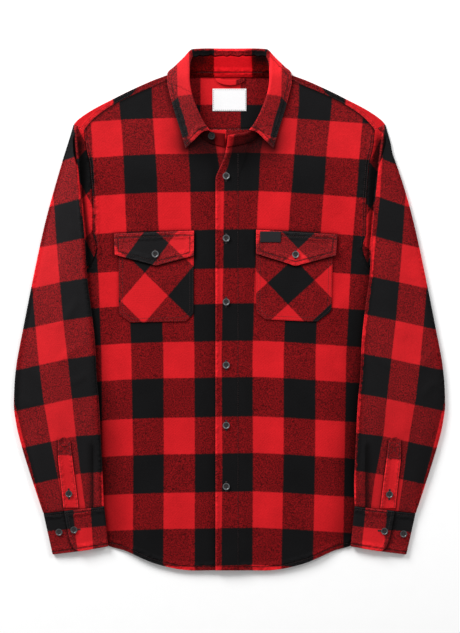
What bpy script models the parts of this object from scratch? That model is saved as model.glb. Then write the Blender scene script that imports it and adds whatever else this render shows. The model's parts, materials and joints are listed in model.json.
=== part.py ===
"""Buffalo-check flannel shirt, buttoned and laid flat on its back.

X runs across the shirt, Y up to the collar and Z away from the surface it lies on.
The origin is under the middle of the shirt's outline, on that surface. Sizes are in
millimetres and turned to metres where a mesh is made. The wearer's right is at -X.
"""
import math

import bpy
import numpy as np
from mathutils import Vector
from mathutils.bvhtree import BVHTree

MM = 0.001

# Cloth and how its layers lie, mm
CLOTH = 1.2            # brushed flannel with its nap
GAP = 0.3              # between pieces that touch
STAND_CLOTH = 1.8      # collar stand and cuffs hold an interlining
FALL_CLOTH = 1.6
CUFF_CLOTH = 2.0
FRONT_Z = CLOTH + GAP              # underside of a front, lying on the back
FRONT_TOP = FRONT_Z + CLOTH
BAND_Z = FRONT_TOP + GAP           # underside of the buttonhole band
BAND_CLOTH = 2.0                   # the band is the front's own cloth turned back
ON_FRONT = FRONT_TOP + GAP + CLOTH / 2   # middle of a cloth that lies on a front

# Body, mm: the wearer's right half, the left half is its mirror image
SIDE_X = -249.0                    # side seam, under the sleeve
ARMPIT_Y = 38.0
SIDE_END_Y = -316.0                # where the side seam ends and the shirt-tail starts
YOKE_SEAM_Y = 277.0                # across the back
UNDER_EDGE_X = 13.0                # edge of the right front, under the band
BAND_EDGE_X = -21.5                # edge of the left front
BAND_STEP = (36.0, 20.0)           # the left front comes down from the right one here
NECK_START_Y = 252.0               # where the fronts' neckline starts

# The curves below are read by height: (y, x)
ARMHOLE = ((276.5, -223.5), (250.0, -221.0), (228.5, -215.5), (199.5, -213.0),
           (145.5, -210.0), (119.5, -210.5), (91.5, -207.0), (67.0, -216.0), (38.0, -249.0))
BACK_ARMHOLE = ((276.5, -224.0), (245.5, -212.0), (199.5, -204.0), (138.0, -202.5),
                (84.0, -212.0), (38.0, -249.0))
SLEEVE_OUTER = ((285.0, -240.0), (276.5, -242.5), (261.0, -247.0), (245.5, -252.0),
                (230.0, -256.5), (199.5, -265.5), (138.0, -282.5), (76.0, -296.5),
                (14.5, -309.0), (-47.0, -321.0), (-78.0, -327.0), (-108.5, -330.5),
                (-139.0, -332.0), (-155.0, -331.8), (-170.0, -329.5), (-201.0, -322.5),
                (-232.0, -313.5), (-293.5, -293.5), (-314.0, -286.5))
SLEEVE_INNER = ((282.5, -238.0), (245.5, -235.5), (199.5, -231.0), (153.0, -226.5),
                (107.0, -222.5), (45.5, -218.5), (-1.0, -212.5), (-54.5, -206.5),
                (-108.5, -204.0), (-139.5, -201.0), (-201.0, -198.0), (-262.5, -195.0),
                (-303.0, -193.5))
BAND_EDGE = ((199.5, -21.5), (212.0, -17.5), (230.0, -10.0), (245.5, -5.5), (262.0, -3.5))
UNDER_EDGE = ((190.0, 13.0), (230.0, 8.0), (262.0, 2.0))

# Shirt-tail, read from the side to the middle: (x, y)
HEM = ((-249.0, -316.0), (-230.0, -335.0), (-187.0, -364.0), (-168.5, -368.5),
       (-148.5, -376.5), (-124.0, -387.5), (-101.0, -394.5), (-78.0, -399.5),
       (-51.5, -401.5), (-22.5, -401.0), (30.0, -401.0))

# Rows of a front below the armhole: share of the way up, and how closely it follows the hem
FRONT_ROWS = ((0.0, 1.0), (0.035, 1.0), (0.12, 0.72), (0.22, 0.42), (0.33, 0.18),
              (0.45, 0.0), (0.58, 0.0), (0.71, 0.0), (0.85, 0.0))
ROW_CLEAR = 8.0                    # these rows end this far below the armpit
# Above a height and over a length, the rows beside the armhole drop towards the neck
ROW_DROP_FROM = 200.0
ROW_DROP_LENGTH = 76.0
ROW_DROP = 26.0
# Columns of a front, from its edge inward, and then evenly to the side
BAND_COLUMNS = (0.0, 8.0, 20.0, 33.6, 35.4, 42.0, 52.0)
BAND_LAST = 3                      # the last column of the turned-back band
EDGE_COLUMNS = (0.0, 12.0, 30.0, 44.0)
SIDE_COLUMNS = 10
EDGE_SHARE = 0.6                   # the edge columns keep to this share of a narrow row

# Shoulder, from the armhole to the neck: fold x, fold y, front seam x, front seam y
SHOULDER = ((-240.0, 285.0, -223.5, 276.8), (-233.5, 292.0, -217.0, 285.5),
            (-212.0, 307.0, -203.0, 299.3), (-182.5, 322.5, -176.0, 317.0),
            (-151.5, 338.0, -148.0, 331.0), (-116.5, 353.5, -113.5, 345.5),
            (-96.0, 361.0, -93.0, 355.0), (-80.0, 367.0, -77.5, 362.0))
SEAM_EASE = 0.1        # more room at the bent shoulder seam
# Neckline of the yoke, from the shoulder to the middle of the back: (x, y)
YOKE_NECK = ((-71.0, 364.0), (-60.0, 361.5), (-30.0, 360.5), (0.0, 360.5))
# Neckline of a front, from the shoulder down: (x, y)
FRONT_NECK = ((-74.5, 358.0), (-69.0, 335.0), (-61.0, 311.0), (-51.5, 290.5),
              (-43.0, 274.0), (-31.5, 262.0), (-20.0, 257.0))

# Collar, from the front end to the middle of the back, all x, y, z.
# Stand: seam x, seam y, top x, top y, top z
STAND = ((-8.0, 250.0, -6.5, 270.5, 6.8), (-33.0, 257.5, -27.0, 273.0, 7.6),
         (-45.5, 269.5, -36.0, 278.5, 9.8), (-54.5, 289.0, -44.0, 293.0, 14.6),
         (-64.0, 310.5, -53.0, 313.0, 18.5), (-71.5, 335.0, -60.0, 336.5, 20.0),
         (-73.0, 350.0, -61.5, 358.0, 19.5), (-68.0, 356.5, -60.0, 377.0, 16.0),
         (-57.0, 357.5, -54.0, 387.5, 11.5), (-36.0, 357.5, -35.0, 389.0, 9.0),
         (-12.0, 357.5, -12.0, 389.0, 8.5))
# The wearer's left end of the stand reaches past the middle, over the band
STAND_LEFT_END = (4.5, 249.5, 2.5, 267.5, 9.4)
# Fall: roll, two points on its way out, then its edge
FALL = (((-31.0, 275.6, 11.4), (-39.5, 273.6, 11.0), (-53.5, 261.5, 7.6), (-67.5, 247.8, 4.0)),
        ((-36.0, 281.6, 14.0), (-43.5, 279.2, 13.2), (-58.0, 267.5, 8.4), (-70.2, 257.0, 4.0)),
        ((-42.0, 291.0, 16.6), (-49.0, 288.0, 15.2), (-63.0, 278.0, 9.4), (-73.5, 269.0, 4.1)),
        ((-53.0, 315.0, 21.4), (-60.5, 313.0, 19.0), (-74.0, 308.0, 11.4), (-84.0, 303.0, 4.2)),
        ((-60.0, 338.0, 23.2), (-68.0, 337.0, 20.4), (-82.0, 334.5, 12.2), (-91.5, 331.0, 4.4)),
        ((-62.0, 356.0, 23.2), (-70.0, 356.0, 20.4), (-84.5, 354.0, 12.2), (-95.5, 350.0, 4.6)),
        ((-62.2, 370.0, 20.8), (-70.0, 371.0, 17.4), (-84.0, 368.0, 10.2), (-95.5, 361.8, 4.5)),
        ((-61.8, 382.0, 17.8), (-69.0, 382.0, 14.2), (-79.5, 377.5, 7.4), (-87.0, 370.5, 2.2)),
        ((-59.0, 391.5, 14.8), (-65.0, 391.0, 11.0), (-69.5, 386.5, 4.5), (-72.0, 371.0, 0.9)),
        ((-53.0, 398.0, 12.5), (-56.5, 399.5, 8.5), (-58.0, 397.5, 3.0), (-57.0, 365.0, 0.9)),
        ((-34.0, 398.8, 11.5), (-34.0, 400.7, 7.5), (-34.0, 398.5, 2.2), (-34.0, 363.0, 0.9)),
        ((-12.0, 398.2, 11.2), (-12.0, 400.5, 7.2), (-12.0, 398.2, 2.0), (-12.0, 363.0, 0.9)))
FALL_SEAM = 1.5        # the fall's seam edge starts this far past the stand's top

# Sleeve sections, top to cuff, by the height where each crosses SLEEVE_REF_X
SLEEVE_REF_X = -222.0
SLEEVE_TOPS = (275.6, 268.0, 257.0, 242.0, 222.0, 197.0, 171.0, 145.0, 118.0, 91.0, 66.0,
               42.0, 31.0, 14.0, -13.0, -42.0, -71.0, -102.0, -135.0, -167.0, -201.0,
               -235.0, -265.0, -290.0, -305.8)
# How far a section drops on its way to the outer fold: (height, drop)
SLEEVE_DROP = ((275.6, -9.0), (268.0, -7.0), (257.0, -3.0), (242.0, 2.0), (222.0, 8.0),
               (197.0, 12.0), (171.0, 14.0), (118.0, 15.5), (14.0, 16.0), (-42.0, 15.5),
               (-102.0, 13.5), (-167.0, 10.0), (-235.0, 8.0), (-290.0, 8.0), (-305.8, 7.6))
LAST_SEAM_ROW = 10     # the last section that meets the armhole seam
# What changes down the sleeve: the heights between which it grows, and how far it goes
OUTER_OPENS = (276.0, 215.0, 1.0)      # the outer fold, from flat to full
SEAM_CLIMBS = (145.0, 118.0, 1.0)      # the armhole strip climbs onto the front
SEAM_SHIFT = (118.0, 91.0, 2.0)
VALLEY_SHIFT = (100.0, 66.0, 16.0)
RIDGE_LIFT = (118.0, 66.0, 1.2)
RAMP = 10.0            # the under layer climbs onto the body in this width
VALLEY_FOLD = 0.9      # radius of the fold beside the armhole
RIDGE_FOLD = 1.2
OUTER_FOLD = 2.2
SLEEVE_CROWN = ((275.6, 0.0), (242.0, 0.6), (171.0, 2.0), (91.0, 2.6), (-102.0, 3.0),
                (-235.0, 2.4), (-305.8, 1.2))
RIDGE_START = (0.0, 1.0, 2.2, 3.6)   # height of the ridge by the shoulder
RAMP_HALF = 1.8                      # half width of the step there
RAMP_STEPS = 9
RAMP_CLEAR = 5.0       # the step keeps this far from the outer fold
CROWN_POWER = 0.8      # how full the sleeve's top is towards its folds
SIDE_LAP = 3.0         # the sleeve's under layer ends this far onto the body
FREE_RIDGE = (0.3, 0.8)     # below the armhole the ridge lies higher by these
TOP_SHARES = (0.07, 0.14, 0.19, 0.33, 0.48, 0.63, 0.78, 0.91)   # across a sleeve's top
PLEAT_X = -210.0       # the deeper pleat above the cuff
PLEAT_TOP_Y = -224.0
PLEAT_LENGTH = 50.0    # from its start to its full depth
PLEAT_STEP = 3.0
PLEAT_RISE = 1.6

# Cuff, mm: corners of the band as it lies, wearer's right
CUFF_TOP = ((-286.5, -313.7), (-192.6, -302.7))        # outer end, inner end
CUFF_FOOT = ((-272.3, -377.0), (-186.4, -364.2))
CUFF_SAG = 3.2                                         # the foot bows by this much
# Where the layers of a cuff pass, as shares of its width from the outer end
CUFF_HIDDEN = (0.61, 0.5, 0.4, 0.3)
CUFF_TURN = 0.15
CUFF_FLOOR = 0.09
CUFF_ON_BODY = (0.62, 0.8)
CUFF_TOP_START = 0.84
CUFF_TOP_RISE = 0.72
CUFF_TOP_LEVEL = (0.61, 0.5)
CUFF_LAYER_GAPS = (0.4, 0.35)      # over the body layer, over the hidden end
CUFF_RISE = (0.3, 0.5)             # how the top layer climbs from its fold
CUFF_FOLD = 2.1
CUFF_INNER_FOLD = 1.8
# Rows of a cuff: share of its height from the top, and where its upper end lies
CUFF_ROWS = ((0.0, 0.345), (0.4, 0.345), (0.72, 0.355), (0.9, 0.39), (1.0, 0.46))

# Sleeve placket: middle x, y, half width
GAUNTLET = ((-254.0, -196.0, 2.0), (-253.6, -202.0, 9.5), (-252.8, -216.0, 10.4),
            (-251.8, -230.0, 11.0), (-250.0, -246.0, 11.2), (-248.0, -262.0, 11.3),
            (-246.2, -278.0, 11.4), (-244.6, -293.0, 11.5), (-243.4, -305.6, 11.6))

# Pockets and flaps, corner points as they lie on the fronts
POCKET_RIGHT = ((-171.0, 114.0), (-170.0, -5.0), (-152.5, -20.0), (-67.5, -18.5),
                (-55.0, -4.0), (-55.0, 118.0))
POCKET_LEFT = ((41.0, 118.0), (41.0, -2.0), (55.5, -15.5), (135.0, -19.0),
               (157.0, 1.0), (159.5, 114.0))
FLAP_RIGHT = ((-177.5, 116.5), (-176.2, 84.0), (-113.0, 67.5), (-55.0, 82.5), (-54.5, 121.0))
FLAP_LEFT = ((41.0, 122.5), (41.0, 85.5), (101.5, 67.0), (163.5, 83.0), (166.0, 115.0))

LABEL = (-26.0, 305.5, 26.0, 340.0)          # neck label: left, bottom, right, top
TAG = (47.0, 103.0, 79.0, 119.6)             # pocket tag, on the left flap
TRIM_CLOTH = 1.0
LAID = 0.4             # a piece laid on cloth keeps this clear of it
LOOP_ENDS = (-22.0, 25.0)
LOOP_TOP_Y = 356.0
LOOP_DROP = 11.0
LOOP_WIDTH = 8.0
LOOP_RISE = 2.2

BUTTON_DIAMETER = 11.0
BUTTON_HEIGHT = 2.4
BUTTON_SIDES = 16
# Buttons: name, x, y
BUTTONS = (("button_front_1", -5.0, 205.0), ("button_front_2", -5.0, 109.5),
           ("button_front_3", -5.0, 11.5), ("button_front_4", -5.0, -85.5),
           ("button_front_5", -5.0, -178.0), ("button_front_6", -5.0, -272.0),
           ("button_stand", -27.5, 266.5), ("button_flap_right", -114.0, 85.0),
           ("button_flap_left", 101.5, 84.3), ("button_gauntlet_right", -246.5, -283.0),
           ("button_cuff_right_1", -238.8, -338.5), ("button_cuff_right_2", -262.0, -342.3),
           ("button_gauntlet_left", 245.5, -284.0), ("button_cuff_left_1", 238.0, -340.6),
           ("button_cuff_left_2", 267.7, -345.0))

# Largest soft swells of the body, mm: middle x, middle y, half width, half height, rise
SWELLS = ((-128.0, 168.0, 60.0, 90.0, 1.6), (118.0, 172.0, 58.0, 88.0, 1.5),
          (-112.0, -120.0, 62.0, 130.0, 1.8), (104.0, -150.0, 64.0, 140.0, 1.7),
          (-92.0, -310.0, 70.0, 64.0, 1.3), (70.0, -318.0, 72.0, 60.0, 1.2))

RED = (0.50, 0.022, 0.026, 1.0)
BLACK = (0.012, 0.012, 0.013, 1.0)
WHITE = (0.82, 0.82, 0.80, 1.0)
CLOTH_ROUGHNESS = 0.9
BUTTON_ROUGHNESS = 0.35

ABSENT = (math.nan, math.nan, math.nan)    # a point that a sheet doesn't have
MITER_LIMIT = 0.7                          # least cosine at a fold
FEEL = 0.5                                 # a height is also felt this far to each side, mm
SHARP_ANGLE = math.radians(40.0)


# ------------------------------------------------------------------ curves

def read(table, at, column=1):
    """Value of a smooth curve through the rows of a table, at a value of its first column."""
    rows = sorted(table)
    keys = np.array([row[0] for row in rows])
    vals = np.array([row[column] for row in rows])
    steps = np.diff(keys)
    rates = np.diff(vals) / steps
    slopes = np.zeros(len(keys))
    slopes[0], slopes[-1] = rates[0], rates[-1]
    for i in range(1, len(keys) - 1):
        if rates[i - 1] * rates[i] > 0.0:
            slopes[i] = 2.0 / (1.0 / rates[i - 1] + 1.0 / rates[i])
    at = min(max(at, keys[0]), keys[-1])
    i = min(int(np.searchsorted(keys, at, side="right")) - 1, len(steps) - 1)
    t = (at - keys[i]) / steps[i]
    h = steps[i]
    return float((1 + 2 * t) * (1 - t) ** 2 * vals[i] + t * (1 - t) ** 2 * h * slopes[i]
                 + t * t * (3 - 2 * t) * vals[i + 1] + t * t * (t - 1) * h * slopes[i + 1])


def spline(points, steps):
    """A smooth curve through some points, with a number of steps for each span."""
    pts = np.array(points, dtype=float)
    lengths = np.linalg.norm(np.diff(pts, axis=0), axis=1)
    knots = np.concatenate(([0.0], np.cumsum(lengths)))
    slopes = np.gradient(pts, knots, axis=0)
    out = []
    for i, h in enumerate(lengths):
        for t in np.arange(steps[i]) / steps[i]:
            out.append((1 + 2 * t) * (1 - t) ** 2 * pts[i] + t * (1 - t) ** 2 * h * slopes[i]
                       + t * t * (3 - 2 * t) * pts[i + 1] + t * t * (t - 1) * h * slopes[i + 1])
    return np.array(out + [pts[-1]])


def ease(low, high, at):
    """0 before low, 1 past high, and a smooth step between them."""
    t = min(max((at - low) / (high - low), 0.0), 1.0)
    return t * t * (3.0 - 2.0 * t)


def grown(change, at):
    """How far a change has gone at a height."""
    low, high, reach = change
    return reach * ease(low, high, at)


def arc(centre_x, centre_z, radius, start, end, count):
    """Points of an arc in a section, angles in degrees."""
    angles = [math.radians(start + (end - start) * i / (count - 1)) for i in range(count)]
    return [(centre_x + radius * math.cos(a), centre_z + radius * math.sin(a)) for a in angles]


def between(first, last, count):
    """Evenly spaced section points between two others, without them."""
    first, last = np.array(first), np.array(last)
    return [tuple(first + (last - first) * (i + 1) / (count + 1)) for i in range(count)]


# ------------------------------------------------------------------ meshes

def material(name, colour, roughness):
    """A plain surface in the piece's main colour."""
    mat = bpy.data.materials.new(name)
    mat.use_nodes = True
    shader = mat.node_tree.nodes["Principled BSDF"]
    shader.inputs["Base Color"].default_value = colour
    shader.inputs["Roughness"].default_value = roughness
    shader.inputs["Metallic"].default_value = 0.0
    return mat


def add_piece(name, verts_mm, faces, colour, roughness=CLOTH_ROUGHNESS):
    """One closed solid from points in millimetres, faces turned outward."""
    mesh = bpy.data.meshes.new(name)
    mesh.from_pydata([Vector(v) * MM for v in verts_mm], [], faces)
    volume = 0.0
    for face in faces:
        a = np.array(verts_mm[face[0]])
        for b, c in zip(face[1:-1], face[2:]):
            volume += float(np.dot(a, np.cross(verts_mm[b], verts_mm[c])))
    if volume < 0.0:
        mesh.flip_normals()
    mesh.materials.append(material(name, colour, roughness))
    mesh.shade_smooth()
    mesh.set_sharp_from_angle(angle=SHARP_ANGLE)
    piece = bpy.data.objects.new(name, mesh)
    bpy.context.collection.objects.link(piece)
    return piece


def unit(vectors):
    """Vectors of length one, and zero where there is no length."""
    length = np.linalg.norm(vectors, axis=-1, keepdims=True)
    return vectors / np.maximum(length, 1e-9)


def directions(grid, axis):
    """Bisecting direction at each point along one way of a grid, and its miter."""
    steps = unit(np.nan_to_num(np.diff(grid, axis=axis)))
    none = np.zeros_like(np.take(steps, [0], axis=axis))
    before = np.concatenate((none, steps), axis=axis)
    after = np.concatenate((steps, none), axis=axis)
    before = np.where(np.any(before, axis=-1, keepdims=True), before, after)
    after = np.where(np.any(after, axis=-1, keepdims=True), after, before)
    middle = unit(before + after)
    cosine = np.sum(middle * after, axis=-1, keepdims=True)
    return middle, 1.0 / np.maximum(cosine, MITER_LIMIT)


def sheet(name, grid, thick, colour):
    """A cloth wall on both sides of a grid of middle points. It ends where they are NaN."""
    grid = np.array(grid, dtype=float)
    rows, cols = grid.shape[:2]
    thick = np.broadcast_to(np.asarray(thick, dtype=float), (rows, cols))[..., None]
    along, miter_a = directions(grid, 1)
    across, miter_b = directions(grid, 0)
    normal = unit(np.cross(along, across))
    reach = normal * thick / 2 * np.maximum(miter_a, miter_b)
    verts = np.concatenate(((grid + reach).reshape(-1, 3), (grid - reach).reshape(-1, 3)))
    there = np.isfinite(grid[..., 0])
    under = rows * cols
    faces = []
    edges = {}
    for i in range(rows - 1):
        for j in range(cols - 1):
            if not there[i:i + 2, j:j + 2].all():
                continue
            ring = (i * cols + j, i * cols + j + 1, (i + 1) * cols + j + 1, (i + 1) * cols + j)
            faces.append(ring)
            faces.append(tuple(under + v for v in reversed(ring)))
            for a, b in zip(ring, ring[1:] + ring[:1]):
                if (b, a) in edges:
                    del edges[(b, a)]
                else:
                    edges[(a, b)] = True
    for a, b in edges:
        faces.append((b, a, under + a, under + b))
    used = sorted({v for face in faces for v in face})
    index = {v: i for i, v in enumerate(used)}
    return add_piece(name, [tuple(verts[v]) for v in used],
                     [tuple(index[v] for v in face) for face in faces], colour)


def slab(name, outline, low, thick, colour):
    """A flat cloth panel with a given outline."""
    count = len(outline)
    verts = [(x, y, low) for x, y in outline] + [(x, y, low + thick) for x, y in outline]
    faces = [tuple(range(count)), tuple(range(2 * count - 1, count - 1, -1))]
    for i in range(count):
        j = (i + 1) % count
        faces.append((i, count + i, count + j, j))
    return add_piece(name, verts, faces, colour)


def flipped(points, sign):
    """Points of the wearer's right side, or their mirror image for sign 1."""
    out = np.array(points, dtype=float)
    out[..., 0] *= -sign
    return out


def height_reader(pieces):
    """A function that gives the highest point of some pieces over a place, in mm."""
    trees = []
    for piece in pieces:
        corners = [v.co.copy() for v in piece.data.vertices]
        trees.append(BVHTree.FromPolygons(corners, [tuple(p.vertices) for p in piece.data.polygons]))

    def read_height(x, y):
        heights = [0.0]
        for step_x, step_y in ((0, 0), (1, 0), (-1, 0), (0, 1), (0, -1)):
            above = Vector(((x + step_x * FEEL) * MM, (y + step_y * FEEL) * MM, 1.0))
            for tree in trees:
                hit = tree.ray_cast(above, Vector((0.0, 0.0, -1.0)))[0]
                if hit is not None:
                    heights.append(hit.z / MM)
        return max(heights)
    return read_height


# ------------------------------------------------------------------ body

def swell(x, y):
    """Height of the soft swells of the fronts over the flat back."""
    total = 0.0
    for mid_x, mid_y, half_w, half_h, rise in SWELLS:
        away = ((x - mid_x) / half_w) ** 2 + ((y - mid_y) / half_h) ** 2
        if away < 1.0:
            total += rise * (1.0 - away) ** 2
    return total


def section_line(height):
    """Where a sleeve section runs: its height at an x, and its outer end."""
    drop = read(SLEEVE_DROP, height)
    outer_y = height - drop
    outer_x = read(SLEEVE_OUTER, outer_y)
    rate = drop / (SLEEVE_REF_X - outer_x)

    def y_at(x):
        return height - (SLEEVE_REF_X - x) * rate
    return y_at, outer_x


def crossing(table, y_at):
    """The x where a section line crosses a curve."""
    x = SLEEVE_REF_X
    for _ in range(12):
        x = read(table, y_at(x))
    return x


def armhole_points(table):
    """The armhole seam at each sleeve section, from the shoulder to the armpit."""
    points = []
    for height in SLEEVE_TOPS[:LAST_SEAM_ROW + 1]:
        y_at, _ = section_line(height)
        x = crossing(table, y_at)
        points.append((x, y_at(x)))
    return points + [(SIDE_X, ARMPIT_Y)]


def back():
    """The flat panel under everything, from the yoke seam to the shirt-tail."""
    half = [(0.0, YOKE_SEAM_Y)] + [(BACK_ARMHOLE[0][1], YOKE_SEAM_Y)]
    half += armhole_points(BACK_ARMHOLE)[1:]
    half += [(x, y) for x, y in HEM if x < 0.0] + [(0.0, HEM[-1][1])]
    other = [(-x, y) for x, y in reversed(half[1:-1])]
    return slab("back", half + other, 0.0, CLOTH, RED)


def yoke():
    """Lies on the back, folds over each shoulder and ends in a strip on the front."""
    fold = CLOTH / 2 + GAP / 2
    middle = CLOTH / 2
    columns = []
    for fold_x, fold_y, seam_x, seam_y in SHOULDER:
        low = np.array((seam_x, YOKE_SEAM_Y + GAP))
        edge = np.array((fold_x, fold_y))
        seam = np.array((seam_x, seam_y))
        inward = unit(seam - edge)
        centre = edge + inward * (fold + CLOTH / 2)
        column = [(*low, middle)]
        column += [(*(low + (centre - low) * share), middle) for share in (0.3, 0.65)]
        for angle in (-90.0, -30.0, 30.0, 90.0):
            out = -inward * fold * math.cos(math.radians(angle))
            column.append((*(centre + out), middle + fold * (1 + math.sin(math.radians(angle)))))
        column.append((*seam, middle + 2 * fold))
        columns.append(column)
    for x, y in YOKE_NECK:
        low = np.array((x, YOKE_SEAM_Y + GAP))
        top = np.array((x, y))
        flat = [(*(low + (top - low) * share), middle) for share in (0.0, 0.3, 0.65, 1.0)]
        columns.append(flat + [ABSENT] * 4)
    right = [np.array(column) for column in columns]
    left = [flipped(column, 1.0) for column in reversed(right[:-1])]
    return sheet("yoke", right + left, CLOTH, RED)


def front_rows(edge_table, edge_x):
    """Side and front ends of each row of a front, hem first: side x, y, edge x, y, bow."""
    rows = []
    top = ARMPIT_Y - ROW_CLEAR
    middle_y = HEM[-1][1]
    for share, bow in FRONT_ROWS:
        side_y = SIDE_END_Y + (top - SIDE_END_Y) * share
        edge_y = middle_y + (top - middle_y) * share
        rows.append((SIDE_X, side_y, edge_x, edge_y, bow))
    for x, y in reversed(armhole_points(ARMHOLE)):
        edge_y = y - ROW_DROP * (max(y - ROW_DROP_FROM, 0.0) / ROW_DROP_LENGTH) ** 2
        rows.append((x + GAP, y, read(edge_table, edge_y), edge_y, 0.0))
    for (_, _, seam_x, seam_y), (neck_x, neck_y) in zip(SHOULDER[1:], reversed(FRONT_NECK)):
        rows.append((seam_x, seam_y - GAP - SEAM_EASE, neck_x, neck_y, 0.0))
    return rows


def front(name, sign, edge_table, edge_x, band):
    """A front from its rows. In its own frame the side is at -X and the edge at +X."""
    at_edge = BAND_COLUMNS if band else EDGE_COLUMNS
    across = np.arange(1, SIDE_COLUMNS + 1) / SIDE_COLUMNS
    grid = []
    thick = []
    for side_x, side_y, end_x, end_y, bow in front_rows(edge_table, edge_x):
        width = end_x - side_x
        scale = min(1.0, width * EDGE_SHARE / at_edge[-1])
        xs = [end_x - d * scale for d in at_edge]
        xs += [xs[-1] + (side_x - xs[-1]) * share for share in across]
        row = []
        for number, x in enumerate(xs):
            share = (x - side_x) / width
            chord = side_y + (end_y - side_y) * share
            hem_chord = SIDE_END_Y + (HEM[-1][1] - SIDE_END_Y) * share
            y = chord + bow * (read(HEM, x) - hem_chord)
            in_band = band and number <= BAND_LAST and end_y < NECK_START_Y
            wall = BAND_CLOTH if in_band else CLOTH
            real_x = -sign * x
            lift = (BAND_Z - FRONT_Z) * ease(*BAND_STEP, real_x) if band else 0.0
            row.append((x, y, FRONT_Z + lift + swell(real_x, y) + wall / 2))
            thick.append(wall)
        grid.append(row)
    grid = flipped(grid, sign)
    thick = np.array(thick).reshape(grid.shape[:2])
    return sheet(name, grid, thick, RED)


# ------------------------------------------------------------------ sleeves

def ramp(seam, valley_x, outer_top, height, crown):
    """The top of a section by the shoulder, where the fold is still a soft step."""
    half = RAMP_HALF
    points = [seam] + between(seam, (valley_x + half, seam[1]), 1)
    for i in range(RAMP_STEPS + 1):
        share = i / RAMP_STEPS
        x = valley_x + half * (1.0 - 2.0 * share)
        points.append((x, seam[1] + height * ease(0.0, 1.0, share)))
    ridge = points[-1]
    for share in TOP_SHARES:
        x = ridge[0] + (outer_top[0] - ridge[0]) * share
        z = ridge[1] + (outer_top[1] - ridge[1]) * share
        points.append((x, z + crown * math.sin(math.pi * share) ** CROWN_POWER))
    return points


def sleeve_section(number, height):
    """Middle line of the cloth in one section, as x and z, from the armhole seam round."""
    y_at, outer_x = section_line(height)
    inner_x = crossing(SLEEVE_INNER, y_at)
    low = CLOTH / 2
    flat_fold = (CLOTH + GAP) / 2
    outer_fold = flat_fold + (OUTER_FOLD - flat_fold) * grown(OUTER_OPENS, height)
    outer_mid = outer_x + CLOTH / 2 + outer_fold
    ridge_mid = inner_x - CLOTH / 2 - RIDGE_FOLD
    seam = number <= LAST_SEAM_ROW
    lift = grown(SEAM_CLIMBS, height)
    seam_x = crossing(ARMHOLE, y_at) - GAP * (1 - lift) + grown(SEAM_SHIFT, height)
    seam_z = FRONT_Z + CLOTH / 2 + (GAP + CLOTH) * lift
    valley_x = ridge_mid - CLOTH - grown(VALLEY_SHIFT, height)
    valley_z = FRONT_Z + CLOTH / 2
    return_z = valley_z + 2 * VALLEY_FOLD
    free_low, free_high = (0.0, 0.0) if seam else FREE_RIDGE
    under_ridge_z = (return_z + grown(RIDGE_LIFT, height) if seam else ON_FRONT) + free_low
    ridge_top = (ridge_mid, under_ridge_z + 2 * RIDGE_FOLD + free_high)
    outer_top = (outer_mid, low + 2 * outer_fold)
    crown = read(SLEEVE_CROWN, height)
    points = [(seam_x, seam_z)]
    points += between((seam_x, seam_z), (valley_x, valley_z), 1)
    points += arc(valley_x, valley_z + VALLEY_FOLD, VALLEY_FOLD, 270.0, 90.0, 4)
    if seam:
        start = (valley_x + 0.3 * (ridge_mid - valley_x), return_z)
    else:
        start = (SIDE_X + SIDE_LAP, ON_FRONT)
        points = [ABSENT[:2]] * len(points)
    points += [start]
    points += between(start, (ridge_mid, under_ridge_z), 1)
    rise = (ridge_top[1] - under_ridge_z) / 2
    points += arc(ridge_mid, under_ridge_z + rise, rise, -90.0, 90.0, 4)
    for share in TOP_SHARES:
        x = ridge_top[0] + (outer_top[0] - ridge_top[0]) * share
        z = ridge_top[1] + (outer_top[1] - ridge_top[1]) * share
        z += crown * math.sin(math.pi * share) ** CROWN_POWER
        pleat = grown((PLEAT_TOP_Y, PLEAT_TOP_Y - PLEAT_LENGTH, PLEAT_RISE), y_at(x))
        z += pleat * ease(PLEAT_X - PLEAT_STEP, PLEAT_X + PLEAT_STEP, x)
        points.append((x, z))
    if number < len(RIDGE_START):
        step_x = max(valley_x, outer_top[0] + RAMP_CLEAR)
        points = ramp((seam_x, seam_z), step_x, outer_top, RIDGE_START[number], crown)
    points += arc(outer_mid, low + outer_fold, outer_fold, 90.0, 270.0, 5)
    foot = (outer_mid, low)
    if seam:
        end = (crossing(BACK_ARMHOLE, y_at) - GAP, low)
        points += between(foot, end, 5) + [end]
    else:
        climb = (SIDE_X - RAMP, low)
        below = number - LAST_SEAM_ROW
        on_side = (SIDE_X - 2.0, low if below == 1 else ON_FRONT + 0.1)
        end = (SIDE_X - 1.4 if below <= 2 else SIDE_X + SIDE_LAP - GAP, on_side[1])
        points += between(foot, climb, 2) + [climb] + between(climb, on_side, 1)
        points += [on_side, end]
    return [(x, y_at(x), z) for x, z in points]


def sleeve(name, sign):
    """One sheet round the arm: armhole seam, fold, ridge, outer fold and under layer."""
    grid = [sleeve_section(number, height) for number, height in enumerate(SLEEVE_TOPS)]
    return sheet(name, flipped(grid, sign), CLOTH, RED)


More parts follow.
